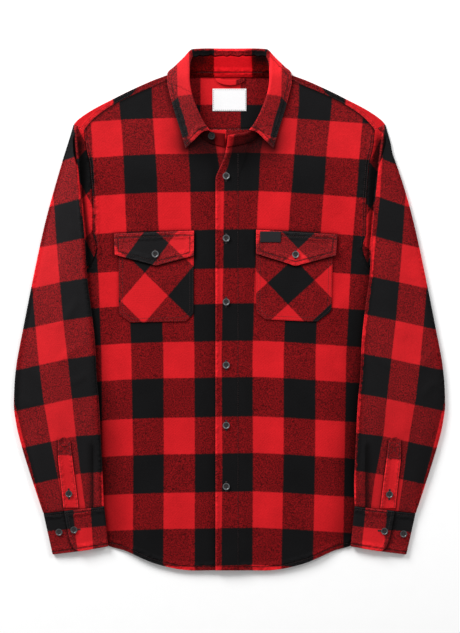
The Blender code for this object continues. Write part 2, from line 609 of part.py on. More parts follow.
def cuff(name, sign):
    """A band round the wrist whose upper end laps over the other, rounded at the foot."""
    grid = []
    low = CUFF_CLOTH / 2
    on_body = FRONT_TOP + GAP + low
    under = on_body + CUFF_CLOTH + CUFF_LAYER_GAPS[0]
    over = under + CUFF_CLOTH + CUFF_LAYER_GAPS[1]
    for share, upper_end in CUFF_ROWS:
        outer, inner = [np.array(a) * (1 - share) + np.array(b) * share
                        for a, b in zip(CUFF_TOP, CUFF_FOOT)]
        width = inner[0] - outer[0]
        first = outer[0] + low + CUFF_FOLD
        last = inner[0] - low - CUFF_INNER_FOLD
        top = low + 2 * CUFF_FOLD
        end_top = on_body + 2 * CUFF_INNER_FOLD

        def at(part):
            return outer[0] + width * part
        points = [(at(part), under) for part in CUFF_HIDDEN]
        points += [(at(CUFF_TURN), (under + top) / 2)]
        points += arc(first, low + CUFF_FOLD, CUFF_FOLD, 90.0, 270.0, 5)
        points += [(at(CUFF_FLOOR), low), (SIDE_X - RAMP, low), (SIDE_X - 2.0, on_body)]
        points += [(at(part), on_body) for part in CUFF_ON_BODY]
        points += arc(last, on_body + CUFF_INNER_FOLD, CUFF_INNER_FOLD, -90.0, 90.0, 5)
        points += [(at(CUFF_TOP_START), end_top + CUFF_RISE[0]),
                   (at(CUFF_TOP_RISE), over - CUFF_RISE[1])]
        points += [(at(part), over) for part in CUFF_TOP_LEVEL + (upper_end,)]
        row = []
        for x, z in points:
            part = (x - outer[0]) / width
            bow = share * CUFF_SAG * math.sin(math.pi * part)
            row.append((x, outer[1] + (inner[1] - outer[1]) * part - bow, z))
        grid.append(row)
    return sheet(name, flipped(grid, sign), CUFF_CLOTH, RED)


def gauntlet(name, sign, height_at):
    """The pointed strip over the sleeve's opening."""
    grid = []
    for middle, y, half in GAUNTLET:
        xs = [middle + half * share for share in (-1.0, -0.5, 0.0, 0.5, 1.0)]
        grid.append([(x, y, height_at(-sign * x, y) + LAID + CLOTH / 2) for x in xs])
    return sheet(name, flipped(grid, sign), CLOTH, RED)


# ------------------------------------------------------------------ collar

def stand_station(row, sign, height_at):
    """A line across the stand, from its seam up to its top."""
    seam_x, seam_y, top_x, top_y, top_z = row
    ground = max(height_at(-sign * (seam_x + dx), seam_y + dy)
                 for dx in (-1.5, 0.0, 1.5) for dy in (-1.5, 0.0, 1.5))
    reach = math.hypot(top_x - seam_x, top_y - seam_y)
    flatness = reach / math.hypot(reach, top_z - ground)
    seam = np.array((seam_x, seam_y, ground + GAP + STAND_CLOTH / 2 * flatness))
    top = np.array((top_x, top_y, top_z))
    return [seam + (top - seam) * share for share in (0.0, 0.33, 0.67, 1.0)]


def stand(height_at):
    """The band that stands up round the neck, its left end over its right one."""
    right = [stand_station(row, -1.0, height_at) for row in STAND]
    left = [stand_station(row, 1.0, height_at) for row in (STAND_LEFT_END,) + STAND[1:]]
    grid = right + [flipped(row, 1.0) for row in reversed(left)]
    return sheet("collar_stand", grid, STAND_CLOTH, RED)


def nearest(point, line):
    """The point of a polyline that lies nearest to another point."""
    best = None
    for a, b in zip(line[:-1], line[1:]):
        share = min(max(np.dot(point - a, b - a) / np.dot(b - a, b - a), 0.0), 1.0)
        spot = a + (b - a) * share
        if best is None or np.linalg.norm(spot - point) < np.linalg.norm(best - point):
            best = spot
    return best


def fall():
    """From the stand's top over the roll, then out to the points and down behind the neck."""
    tops = [np.array(row[2:]) for row in STAND] + [np.array((0.0,) + STAND[-1][3:])]
    right = []
    for station in FALL:
        roll = np.array(station[0])
        seam = nearest(roll, tops)
        seam = seam + unit(roll - seam) * FALL_SEAM
        path = spline((seam,) + station, (1, 3, 3, 4))
        path[:, 2] = np.maximum(path[:, 2], FALL_CLOTH / 2)
        right.append(path)
    left = [flipped(row, 1.0) for row in reversed(right)]
    return sheet("collar_fall", right + left, FALL_CLOTH, RED)


# ------------------------------------------------------------------ pockets and trims

def lay(rows, height_at, clear, thick):
    """Give plan points their height on what lies below them."""
    return [[(x, y, height_at(x, y) + clear + thick / 2) for x, y in row] for row in rows]


def mix(a, b, share):
    """A point between two others."""
    return tuple(np.array(a) * (1 - share) + np.array(b) * share)


def pocket(name, corners, height_at):
    """A patch with its lower corners cut off."""
    top_left, low_left, foot_left, foot_right, low_right, top_right = corners
    ends = [(mix(top_left, low_left, share), mix(top_right, low_right, share))
            for share in (0.0, 0.2, 0.4, 0.6, 0.8, 1.0)]
    ends.append((foot_left, foot_right))
    rows = [[mix(a, b, share) for share in np.linspace(0.0, 1.0, 9)] for a, b in ends]
    return sheet(name, lay(rows, height_at, LAID, CLOTH), CLOTH, RED)


def flap(name, corners, height_at):
    """A flap whose lower edge comes to a blunt point."""
    top_left, low_left, tip, low_right, top_right = corners
    rows = []
    for down in (0.0, 0.33, 0.67, 1.0):
        row = []
        for share in np.linspace(0.0, 1.0, 9):
            foot = mix(low_left, tip, share * 2) if share < 0.5 else mix(tip, low_right, share * 2 - 1)
            row.append(mix(mix(top_left, top_right, share), foot, down))
        rows.append(row)
    return sheet(name, lay(rows, height_at, LAID + CLOTH + LAID, CLOTH), CLOTH, RED)


def neck_label():
    """A bare woven label on the inside of the yoke."""
    left, low, right, top = LABEL
    corners = ((left, low), (right, low), (right, top), (left, top))
    return slab("neck_label", corners, CLOTH + GAP, TRIM_CLOTH, WHITE)


def pocket_tag(height_at):
    """A bare tag on the left flap."""
    left, low, right, top = TAG
    rows = [[(x, y) for x in np.linspace(left, right, 5)] for y in np.linspace(top, low, 3)]
    return sheet("pocket_tag", lay(rows, height_at, LAID, TRIM_CLOTH), TRIM_CLOTH, BLACK)


def hanger_loop():
    """A strip hanging in a half round below the collar seam."""
    left, right = LOOP_ENDS
    middle = (left + right) / 2
    half = (right - left) / 2
    grid = []
    for angle in np.linspace(math.pi, 2 * math.pi, 11):
        lifted = CLOTH + GAP + CLOTH / 2 - LOOP_RISE * math.sin(angle)
        grid.append([(middle + (half - inset) * math.cos(angle),
                      LOOP_TOP_Y + (LOOP_DROP - inset) * math.sin(angle), lifted)
                     for inset in (0.0, LOOP_WIDTH)])
    return sheet("hanger_loop", grid, CLOTH, RED)


def button(name, x, y, height_at):
    """A turned button with a raised rim, lying as the cloth below it does."""
    radius = BUTTON_DIAMETER / 2
    spots = [(x, y)] + [(x + radius * share * math.cos(a), y + radius * share * math.sin(a))
                        for share in (0.6, 1.0) for a in np.arange(8) * math.pi / 4]
    cloth = np.array([(px - x, py - y, height_at(px, py)) for px, py in spots])
    flat = np.column_stack((cloth[:, :2], np.ones(len(cloth))))
    tilt_x, tilt_y, level = np.linalg.lstsq(flat, cloth[:, 2], rcond=None)[0]
    proud = max(cloth[:, 2] - flat @ np.array((tilt_x, tilt_y, level)))
    base = level + proud + GAP
    rings = ((0.86, 0.0), (1.0, 0.35 * BUTTON_HEIGHT), (1.0, 0.65 * BUTTON_HEIGHT),
             (0.88, BUTTON_HEIGHT), (0.66, 0.68 * BUTTON_HEIGHT))
    verts = []
    for share, up in rings:
        for i in range(BUTTON_SIDES):
            a = 2 * math.pi * i / BUTTON_SIDES
            dx, dy = radius * share * math.cos(a), radius * share * math.sin(a)
            verts.append((x + dx, y + dy, base + tilt_x * dx + tilt_y * dy + up))
    sides = BUTTON_SIDES
    faces = [tuple(reversed(range(sides))), tuple(4 * sides + i for i in range(sides))]
    for ring in range(len(rings) - 1):
        for i in range(sides):
            j = (i + 1) % sides
            faces.append((ring * sides + i, ring * sides + j,
                          (ring + 1) * sides + j, (ring + 1) * sides + i))
    return add_piece(name, verts, faces, BLACK, BUTTON_ROUGHNESS)


# ------------------------------------------------------------------ build

def clear_scene():
    """Removes what the file opened with."""
    for piece in list(bpy.data.objects):
        bpy.data.objects.remove(piece, do_unlink=True)


def build():
    """All the pieces, from the ones on the surface up to the buttons."""
    clear_scene()
    back()
    yoke_piece = yoke()
    front_right = front("front_right", -1.0, UNDER_EDGE, UNDER_EDGE_X, False)
    left_edge = tuple((y, -x) for y, x in BAND_EDGE)
    front_left = front("front_left", 1.0, left_edge, -BAND_EDGE_X, True)
    carriers = [yoke_piece, front_right, front_left]
    for name, sign in (("right", -1.0), ("left", 1.0)):
        sleeve_piece = sleeve("sleeve_" + name, sign)
        strip = gauntlet("gauntlet_" + name, sign, height_reader([sleeve_piece]))
        carriers += [strip, cuff("cuff_" + name, sign)]
    carriers.append(stand(height_reader([yoke_piece, front_right, front_left])))
    fall()
    pocket("pocket_right", POCKET_RIGHT, height_reader([front_right]))
    pocket("pocket_left", POCKET_LEFT, height_reader([front_left]))
    flap_right = flap("flap_right", FLAP_RIGHT, height_reader([front_right]))
    flap_left = flap("flap_left", FLAP_LEFT, height_reader([front_left]))
    carriers += [flap_right, flap_left]
    pocket_tag(height_reader([flap_left]))
    neck_label()
    hanger_loop()
    height_at = height_reader(carriers)
    for name, x, y in BUTTONS:
        button(name, x, y, height_at)


build()
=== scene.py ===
"""Buffalo-check flannel shirt, buttoned and laid flat: its cloth, check, seams and buttons.

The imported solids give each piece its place. The cloth is made again here from the same
sizes on a finer net, with its weave, creases, stitches and buttonholes. Sizes are in
millimetres and turned to metres where a mesh is made. X runs across the shirt, Y up to the
collar, Z away from the surface, and the wearer's right is at -X.
"""

import json
import math

import bmesh
import bpy
import numpy as np
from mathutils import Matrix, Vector
from mathutils.bvhtree import BVHTree

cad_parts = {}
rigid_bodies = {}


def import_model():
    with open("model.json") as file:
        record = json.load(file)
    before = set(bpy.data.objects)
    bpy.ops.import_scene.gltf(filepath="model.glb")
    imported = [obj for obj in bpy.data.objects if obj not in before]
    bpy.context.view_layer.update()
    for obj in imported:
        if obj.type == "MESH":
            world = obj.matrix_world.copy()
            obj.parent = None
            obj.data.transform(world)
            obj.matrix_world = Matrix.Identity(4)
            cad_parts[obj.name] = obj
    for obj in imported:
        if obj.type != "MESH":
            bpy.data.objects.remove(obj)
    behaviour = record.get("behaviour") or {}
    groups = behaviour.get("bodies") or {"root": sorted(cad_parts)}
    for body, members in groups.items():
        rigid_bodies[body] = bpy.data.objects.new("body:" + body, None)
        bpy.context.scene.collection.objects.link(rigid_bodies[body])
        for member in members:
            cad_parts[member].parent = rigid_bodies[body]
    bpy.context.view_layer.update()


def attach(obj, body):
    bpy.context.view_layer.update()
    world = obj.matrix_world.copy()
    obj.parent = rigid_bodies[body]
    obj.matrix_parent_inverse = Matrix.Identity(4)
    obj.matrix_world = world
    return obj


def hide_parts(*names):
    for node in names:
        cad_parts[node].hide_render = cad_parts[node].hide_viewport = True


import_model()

bl_info = {
    "name": "Flannel shirt",
    "version": (1, 0, 0),
    "blender": (4, 5, 0),
    "location": "3D View > Sidebar > Shirt",
    "description": "Builds a buffalo-check flannel shirt laid flat, with its seams and buttons",
    "category": "Object",
}

MM = 0.001
ABSENT = (math.nan, math.nan, math.nan)    # a point that a sheet doesn't have

# ------------------------------------------------------------------ sizes of the cut, mm

# Cloth and how its layers lie
CLOTH = 1.2
GAP = 0.3
STAND_CLOTH = 1.8
FALL_CLOTH = 1.6
CUFF_CLOTH = 2.0
TRIM_CLOTH = 1.0
LAID = 0.4
LAID_PASSES = 4              # smoothing of what a laid piece follows
FRONT_Z = CLOTH + GAP
FRONT_TOP = FRONT_Z + CLOTH
BAND_Z = FRONT_TOP + GAP
BAND_CLOTH = 2.0
ON_FRONT = FRONT_TOP + GAP + CLOTH / 2

# Body: the wearer's right half, the left half is its mirror image
SIDE_X = -249.0
ARMPIT_Y = 38.0
SIDE_END_Y = -316.0
YOKE_SEAM_Y = 277.0
UNDER_EDGE_X = 13.0
BAND_EDGE_X = -21.5
BAND_STEP = (36.0, 20.0)
NECK_START_Y = 252.0

# The curves below are read by height: (y, x)
ARMHOLE = ((276.5, -223.5), (250.0, -221.0), (228.5, -215.5), (199.5, -213.0),
           (145.5, -210.0), (119.5, -210.5), (91.5, -207.0), (67.0, -216.0), (38.0, -249.0))
BACK_ARMHOLE = ((276.5, -224.0), (245.5, -212.0), (199.5, -204.0), (138.0, -202.5),
                (84.0, -212.0), (38.0, -249.0))
SLEEVE_OUTER = ((285.0, -240.0), (276.5, -242.5), (261.0, -247.0), (245.5, -252.0),
                (230.0, -256.5), (199.5, -265.5), (138.0, -282.5), (76.0, -296.5),
                (14.5, -309.0), (-47.0, -321.0), (-78.0, -327.0), (-108.5, -330.5),
                (-139.0, -332.0), (-155.0, -331.8), (-170.0, -329.5), (-201.0, -322.5),
                (-232.0, -313.5), (-293.5, -293.5), (-314.0, -286.5))
SLEEVE_INNER = ((282.5, -238.0), (245.5, -235.5), (199.5, -231.0), (153.0, -226.5),
                (107.0, -222.5), (45.5, -218.5), (-1.0, -212.5), (-54.5, -206.5),
                (-108.5, -204.0), (-139.5, -201.0), (-201.0, -198.0), (-262.5, -195.0),
                (-303.0, -193.5))
BAND_EDGE = ((199.5, -21.5), (212.0, -17.5), (230.0, -10.0), (245.5, -5.5), (262.0, -3.5))
UNDER_EDGE = ((190.0, 13.0), (230.0, 8.0), (262.0, 2.0))

# Shirt-tail, from the side to the middle: (x, y)
HEM = ((-249.0, -316.0), (-230.0, -335.0), (-187.0, -364.0), (-168.5, -368.5),
       (-148.5, -376.5), (-124.0, -387.5), (-101.0, -394.5), (-78.0, -399.5),
       (-51.5, -401.5), (-22.5, -401.0), (30.0, -401.0))

# Rows of a front below the armhole: share of the way up, and how closely it follows the hem
FRONT_ROWS = ((0.0, 1.0), (0.035, 1.0), (0.12, 0.72), (0.22, 0.42), (0.33, 0.18),
              (0.45, 0.0), (0.58, 0.0), (0.71, 0.0), (0.85, 0.0))
ROW_CLEAR = 8.0
ROW_DROP_FROM = 200.0
ROW_DROP_LENGTH = 76.0
ROW_DROP = 26.0
BAND_COLUMNS = (0.0, 8.0, 20.0, 33.6, 35.4, 42.0, 52.0)
BAND_LAST = 3
EDGE_COLUMNS = (0.0, 12.0, 30.0, 44.0)
SIDE_COLUMNS = 10
EDGE_SHARE = 0.6

# Shoulder, from the armhole to the neck: fold x, fold y, front seam x, front seam y
SHOULDER = ((-240.0, 285.0, -223.5, 276.8), (-233.5, 292.0, -217.0, 285.5),
            (-212.0, 307.0, -203.0, 299.3), (-182.5, 322.5, -176.0, 317.0),
            (-151.5, 338.0, -148.0, 331.0), (-116.5, 353.5, -113.5, 345.5),
            (-96.0, 361.0, -93.0, 355.0), (-80.0, 367.0, -77.5, 362.0))
SEAM_EASE = 0.1
YOKE_NECK = ((-71.0, 364.0), (-60.0, 361.5), (-30.0, 360.5), (0.0, 360.5))
FRONT_NECK = ((-74.5, 358.0), (-69.0, 335.0), (-61.0, 311.0), (-51.5, 290.5),
              (-43.0, 274.0), (-31.5, 262.0), (-20.0, 257.0))

# Collar, from the front end to the middle of the back.
# Stand: seam x, seam y, top x, top y, top z
STAND = ((-8.0, 250.0, -6.5, 270.5, 6.8), (-33.0, 257.5, -27.0, 273.0, 7.6),
         (-45.5, 269.5, -36.0, 278.5, 9.8), (-54.5, 289.0, -44.0, 293.0, 14.6),
         (-64.0, 310.5, -53.0, 313.0, 18.5), (-71.5, 335.0, -60.0, 336.5, 20.0),
         (-73.0, 350.0, -61.5, 358.0, 19.5), (-68.0, 356.5, -60.0, 377.0, 16.0),
         (-57.0, 357.5, -54.0, 387.5, 11.5), (-36.0, 357.5, -35.0, 389.0, 9.0),
         (-12.0, 357.5, -12.0, 389.0, 8.5))
STAND_LEFT_END = (4.5, 249.5, 2.5, 267.5, 9.4)
# Fall: roll, two points on its way out, then its edge, all x, y, z
FALL = (((-31.0, 275.6, 11.4), (-39.5, 273.6, 11.0), (-53.5, 261.5, 7.6), (-67.5, 247.8, 4.0)),
        ((-36.0, 281.6, 14.0), (-43.5, 279.2, 13.2), (-58.0, 267.5, 8.4), (-70.2, 257.0, 4.0)),
        ((-42.0, 291.0, 16.6), (-49.0, 288.0, 15.2), (-63.0, 278.0, 9.4), (-73.5, 269.0, 4.1)),
        ((-53.0, 315.0, 21.4), (-60.5, 313.0, 19.0), (-74.0, 308.0, 11.4), (-84.0, 303.0, 4.2)),
        ((-60.0, 338.0, 23.2), (-68.0, 337.0, 20.4), (-82.0, 334.5, 12.2), (-91.5, 331.0, 4.4)),
        ((-62.0, 356.0, 23.2), (-70.0, 356.0, 20.4), (-84.5, 354.0, 12.2), (-95.5, 350.0, 4.6)),
        ((-62.2, 370.0, 20.8), (-70.0, 371.0, 17.4), (-84.0, 368.0, 10.2), (-95.5, 361.8, 4.5)),
        ((-61.8, 382.0, 17.8), (-69.0, 382.0, 14.2), (-79.5, 377.5, 7.4), (-87.0, 370.5, 2.2)),
        ((-59.0, 391.5, 14.8), (-65.0, 391.0, 11.0), (-69.5, 386.5, 4.5), (-72.0, 371.0, 0.9)),
        ((-53.0, 398.0, 12.5), (-56.5, 399.5, 8.5), (-58.0, 397.5, 3.0), (-57.0, 365.0, 0.9)),
        ((-34.0, 398.8, 11.5), (-34.0, 400.7, 7.5), (-34.0, 398.5, 2.2), (-34.0, 363.0, 0.9)),
        ((-12.0, 398.2, 11.2), (-12.0, 400.5, 7.2), (-12.0, 398.2, 2.0), (-12.0, 363.0, 0.9)))
LEAF_LIT = 0.42          # painted highlight: the left leaf's nap faces the light, so it is painted lighter
GATHER = 0.75            # how far the seam below the roll is drawn up and down, mm
FALL_SEAM = 1.5
FALL_STEPS = (1, 3, 3, 4)

# Sleeve sections, top to cuff, by the height where each crosses SLEEVE_REF_X
SLEEVE_REF_X = -222.0
SLEEVE_TOPS = (275.6, 268.0, 257.0, 242.0, 222.0, 197.0, 171.0, 145.0, 118.0, 91.0, 66.0,
               42.0, 31.0, 14.0, -13.0, -42.0, -71.0, -102.0, -135.0, -167.0, -201.0,
               -235.0, -265.0, -290.0, -305.8)
SLEEVE_DROP = ((275.6, -9.0), (268.0, -7.0), (257.0, -3.0), (242.0, 2.0), (222.0, 8.0),
               (197.0, 12.0), (171.0, 14.0), (118.0, 15.5), (14.0, 16.0), (-42.0, 15.5),
               (-102.0, 13.5), (-167.0, 10.0), (-235.0, 8.0), (-290.0, 8.0), (-305.8, 7.6))
LAST_SEAM_ROW = 10
# What changes down the sleeve: the heights between which it grows, and how far it goes
OUTER_OPENS = (276.0, 215.0, 1.0)
SEAM_CLIMBS = (145.0, 118.0, 1.0)
SEAM_SHIFT = (118.0, 91.0, 2.0)
VALLEY_SHIFT = (100.0, 66.0, 16.0)
RIDGE_LIFT = (118.0, 66.0, 1.2)
RAMP = 10.0
VALLEY_FOLD = 0.9
OUTER_FOLD = 3.0
SLEEVE_CROWN = ((275.6, 0.0), (242.0, 0.6), (171.0, 3.2), (91.0, 5.0), (-102.0, 6.2),
                (-200.0, 5.2), (-270.0, 2.8), (-305.8, 1.2))
RIDGE_ROUND = ((275.6, 1.2), (222.0, 1.4), (145.0, 2.0), (14.0, 2.6), (-102.0, 3.0),
               (-235.0, 2.8), (-285.0, 1.6), (-305.8, 1.2))
RIDGE_START = (0.0, 1.0, 2.2, 3.6)
RAMP_HALF = 1.8
RAMP_STEPS = 9
RAMP_CLEAR = 5.0
CROWN_POWER = 0.8
SIDE_LAP = 3.0
FREE_RIDGE = (0.3, 0.8)
TOP_SHARES = (0.07, 0.14, 0.19, 0.33, 0.48, 0.63, 0.78, 0.91)
PLEAT_X = -210.0
PLEAT_TOP_Y = -224.0
PLEAT_LENGTH = 50.0
PLEAT_STEP = 3.0
PLEAT_RISE = 1.6
# Columns of a sleeve section where its parts meet
VALLEY_COLUMN = 5
RIDGE_COLUMN = 11
OUTER_COLUMN = 20

# Cuff: corners of the band as it lies, and where its layers pass as shares of its width
CUFF_TOP = ((-286.5, -313.7), (-192.6, -302.7))
CUFF_FOOT = ((-272.3, -377.0), (-186.4, -364.2))
CUFF_SAG = 0.8
CUFF_HIDDEN = (0.61, 0.5, 0.4, 0.3)
CUFF_TURN = 0.15
CUFF_FLOOR = 0.09
CUFF_ON_BODY = (0.62, 0.8)
CUFF_TOP_START = 0.84
CUFF_TOP_RISE = 0.72
CUFF_TOP_LEVEL = (0.61, 0.5)
CUFF_LAYER_GAPS = (0.4, 0.6)
CUFF_RISE = (0.3, 0.5)
CUFF_FOLD = 2.1
CUFF_INNER_FOLD = 1.8
CUFF_ROWS = ((0.0, 0.345), (0.4, 0.345), (0.72, 0.355), (0.9, 0.39), (1.0, 0.46))

# Sleeve placket: middle x, y, half width
GAUNTLET = ((-254.0, -196.0, 2.0), (-253.6, -202.0, 9.5), (-252.8, -216.0, 10.4),
            (-251.8, -230.0, 11.0), (-250.0, -246.0, 11.2), (-248.0, -262.0, 11.3),
            (-246.2, -278.0, 11.4), (-244.6, -293.0, 11.5), (-243.4, -305.6, 11.6))

# Pockets and flaps, corner points as they lie on the fronts
POCKET_RIGHT = ((-171.0, 114.0), (-170.0, -5.0), (-152.5, -20.0), (-67.5, -18.5),
                (-55.0, -4.0), (-55.0, 118.0))
POCKET_LEFT = ((41.0, 118.0), (41.0, -2.0), (55.5, -15.5), (135.0, -19.0),
               (157.0, 1.0), (159.5, 114.0))
FLAP_RIGHT = ((-177.5, 116.5), (-176.2, 84.0), (-113.0, 67.5), (-55.0, 82.5), (-54.5, 121.0))
FLAP_LEFT = ((41.0, 122.5), (41.0, 85.5), (101.5, 67.0), (163.5, 83.0), (166.0, 115.0))

POCKET_PUFF = 1.0
FLAP_LIFT = (0.0, 0.9, 1.5, 2.0)             # how far a flap stands off, from its top down

LABEL = (-26.0, 305.5, 26.0, 340.0)          # left, bottom, right, top
TAG = (47.0, 103.0, 79.0, 119.6)
LOOP_ENDS = (-22.0, 25.0)
LOOP_TOP_Y = 356.0
LOOP_DROP = 11.0
LOOP_WIDTH = 8.0
LOOP_RISE = 2.2

# Largest soft swells of the body: middle x, middle y, half width, half height, rise
SWELLS = ((-128.0, 168.0, 60.0, 90.0, 1.6), (118.0, 172.0, 58.0, 88.0, 1.5),
          (-112.0, -120.0, 62.0, 130.0, 1.8), (104.0, -150.0, 64.0, 140.0, 1.7),
          (-92.0, -310.0, 70.0, 64.0, 1.3), (70.0, -318.0, 72.0, 60.0, 1.2))

# Buttons: node, x, y
BUTTONS = (("button_front_1", -5.0, 205.0), ("button_front_2", -5.0, 109.5),
           ("button_front_3", -5.0, 11.5), ("button_front_4", -5.0, -85.5),
           ("button_front_5", -5.0, -178.0), ("button_front_6", -5.0, -272.0),
           ("button_stand", -27.5, 266.5), ("button_flap_right", -114.0, 85.0),
           ("button_flap_left", 101.5, 84.3), ("button_gauntlet_right", -246.5, -283.0),
           ("button_cuff_right_1", -238.8, -338.5), ("button_cuff_right_2", -262.0, -342.3),
           ("button_gauntlet_left", 245.5, -284.0), ("button_cuff_left_1", 238.0, -340.6),
           ("button_cuff_left_2", 267.7, -345.0))
BUTTON_CARRIERS = ("yoke", "front_right", "front_left", "collar_stand", "flap_right", "flap_left",
                   "gauntlet_right", "gauntlet_left", "cuff_right", "cuff_left")
# Where it isn't 1: how much of a button's pale rim is kept, a painted highlight that is weaker on buttons in
# shade; and the painted shade on a button
RIM_PAINTED_LIGHT = {"button_stand": 0.0, "button_gauntlet_right": 0.35, "button_gauntlet_left": 0.4,
             "button_cuff_right_1": 0.35, "button_cuff_right_2": 0.4, "button_cuff_left_1": 0.45,
             "button_cuff_left_2": 0.4}
BUTTON_PAINTED_SHADE = {"button_stand": 0.95}
HOLES = ((-0.12, -0.12), (0.12, -0.12), (-0.12, 0.12), (0.12, 0.12))     # shares of its width
# Buttonholes: x, y, direction in degrees, length
BUTTONHOLES = tuple((-5.0, y, 90.0, 16.0) for y in (205.0, 109.5, 11.5, -85.5, -178.0, -272.0)) + (
    (-114.0, 85.0, 90.0, 14.0), (101.5, 84.3, 90.0, 14.0), (-246.5, -283.0, 93.0, 17.0),
    (245.5, -284.0, 87.0, 17.0), (-236.3, -338.3, 6.0, 15.0), (235.5, -340.4, -6.0, 15.0))

# ------------------------------------------------------------------ check, mm

# Where the threads change colour. Warp: height, then the x of each edge from left to right
WARP_RIGHT = ((316.5, -215.6, -169.7, -119.2, -70.8, -28.5),
              (264.1, -211.9, -164.8, -115.7, -64.7, -23.1),
              (205.6, -209.0, -161.9, -111.3, -60.7, -13.1),
              (150.2, -208.1, -159.9, -110.1, -59.8, -11.6),
              (42.4, -201.4, -154.8, -105.5, -56.2, -7.7),
              (-70.1, -197.1, -150.9, -101.6, -53.9, -5.4),
              (-231.8, -195.6, -148.0, -100.9, -53.1, -5.4),
              (-378.1, -196.3, -148.6, -101.6, -53.6, -5.4))
WARP_LEFT = ((316.5, 10.0, 56.2, 107.0, 157.8, 207.1), (264.1, 6.9, 51.6, 101.9, 151.7, 202.5),
             (241.0, 3.1, 47.7, 99.9, 149.4, 200.2), (222.5, -1.8, 46.7, 98.4, 148.1, 199.0),
             (205.6, -8.2, 46.2, 97.5, 147.1, 197.9), (150.2, -9.1, 43.1, 92.4, 142.5, 193.3),
             (76.2, -9.5, 40.0, 88.5, 137.8, 187.1), (-70.1, -12.3, 35.4, 83.2, 132.4, 179.7),
             (-231.8, -11.1, 36.2, 83.2, 131.7, 177.1), (-378.1, -12.3, 35.4, 80.1, 128.6, 174.8))
# Weft: the height of each edge in the middle of the body, and how far the rows hang at an x
BODY_ROWS = (355.0, 296.4, 241.0, 181.7, 123.2, 63.1, 9.2, -48.5, -104.0, -164.8, -221.0,
             -280.3, -335.7, -393.5, -450.4)
BODY_SAG = ((-208.7, 7.1), (-160.9, 3.9), (-107.0, 1.8), (-53.1, 1.2), (-6.9, 0.0),
            (40.8, -0.5), (93.2, 1.8), (139.4, 5.1), (179.4, 7.9), (208.7, 10.0))
BACK_GRAIN_Y = -70.1         # the height at which the back's columns are read
# Right sleeve: height, then the x of its two edges and of a third by the ridge
WARP_SLEEVE = ((276.4, -322.6, -278.7, -238.5), (221.0, -318.0, -274.1, -235.0),
               (159.4, -312.6, -269.2, -230.5), (100.9, -308.8, -265.3, -218.0),
               (42.4, -303.5, -260.3, -212.0), (-17.1, -298.6, -255.2, -206.5),
               (-76.2, -292.9, -248.2, -198.5), (-136.3, -285.7, -241.6, -192.0),
               (-194.2, -275.8, -235.8, -186.0), (-251.8, -264.6, -228.7, -197.8),
               (-308.8, -253.7, -221.0, -196.0))
# The left sleeve in the right one's place: its third edge, how far the other two move by
# height, how far its fold reaches towards the body, and how its rows lie
WARP_FOLD_LEFT = ((276.4, -238.5), (230.0, -235.0), (176.0, -231.5), (107.0, -224.5),
                  (53.0, -220.0), (14.6, -214.8), (-31.6, -209.5), (-62.0, -206.8),
                  (-93.0, -205.0), (-162.0, -199.5), (-201.0, -197.5), (-262.0, -194.6),
                  (-308.8, -194.0))
LEFT_REACH = ((276.0, 0.0), (262.0, 0.0), (235.0, 3.6), (107.0, 4.0), (53.0, 3.5), (14.0, 4.2),
              (-93.0, 3.2), (-162.0, 3.6), (-201.0, 3.6), (-262.0, 3.0), (-290.0, 1.6),
              (-305.8, 0.0))
WARP_MOVED_LEFT = ((300.0, 0.0, 0.0), (-190.0, 0.0, 0.0), (-230.0, -1.5, 2.6),
                   (-262.0, -4.0, 4.6), (-308.8, -6.0, 4.4))
LEFT_RISE = 0.055
LEFT_ROW_DROP = (195.0, 228.0, 6.5)
SLEEVE_ROWS = (281.1, 221.0, 159.4, 100.4, 41.7, -17.1, -75.8, -136.9, -194.2, -251.9, -310.3)
# How steeply those rows rise towards the body, inward of the second edge, by height
SLEEVE_TILT = ((276.4, 0.42), (221.0, 0.36), (159.4, 0.258), (100.9, 0.22), (42.4, 0.15),
               (-17.7, 0.145), (-76.2, 0.126), (-136.3, 0.12), (-194.8, 0.06), (-251.8, 0.08))
SLEEVE_TILT_OUTER = 0.215
# Cross-grain yoke: rows at these x, warp edges at these heights
YOKE_ROWS = (-44.7, 16.9)
YOKE_WARP = (315.4, 363.1)
# Its strip on the front: x of the changes, at the fold and at the seam
STRIP_CHANGES = ((-178.5, -141.4, -96.2), (-178.5, -156.3, -100.0))
# Collar: edges across the back, and the lines on a leaf as points x, y
COLLAR_ROWS = (-23.9, 34.6)
LEAF_WARP = ((-80.0, 374.0), (-79.0, 330.0), (-77.0, 318.0), (-68.5, 292.0), (-62.4, 265.7),
             (-58.5, 256.5))
LEAF_ROW_HIGH = ((-88.0, 318.0), (-77.8, 327.3), (-59.3, 328.8))
LEAF_ROW_LOW = ((-72.0, 264.1), (-60.8, 267.2), (-48.5, 273.4), (-34.6, 279.5))
LEAF_CORNER_Y = 400.0
LEAF_CORNER_X = -57.8
# Pockets and flaps on the bias: three corners of a block, and whether it is red (0) or black (1)
BIAS = {"pocket_right": ((-130.1, 56.2), (-94.7, 21.3), (-167.1, 13.1), 0),
        "pocket_left": ((99.2, 78.4), (131.0, 45.0), (58.1, 41.0), 1),
        "flap_right": ((-123.3, 130.2), (-93.2, 102.1), (-159.4, 80.8), 1),
        "flap_left": ((114.5, 169.8), (148.5, 133.8), (71.5, 129.2), 1),
        # The sleeve's cloth beside the armhole, where its cap turns away from the grain
        "strip_right": ((-220.5, 177.2), (-244.3, 151.6), (-199.0, 134.5), 2),
        "strip_left": ((-217.5, 155.2), (-241.3, 129.6), (-196.0, 112.5), 2)}
# Cuffs: columns at the top and at the foot, and the ends of the row edge
CUFF_CHECK = {"right": ((-335.0, -239.0, -213.0), (-330.0, -232.5, -209.1),
                        ((-280.0, -341.1), (-190.2, -332.5))),
              "left": ((-337.0, -241.0, -208.7), (-332.0, -235.5, -202.0),
                       ((-282.6, -342.7), (-188.7, -332.8)))}
GAUNTLET_ROW = {"right": -223.6, "left": -229.8}
LOOP_EDGE = 10.0
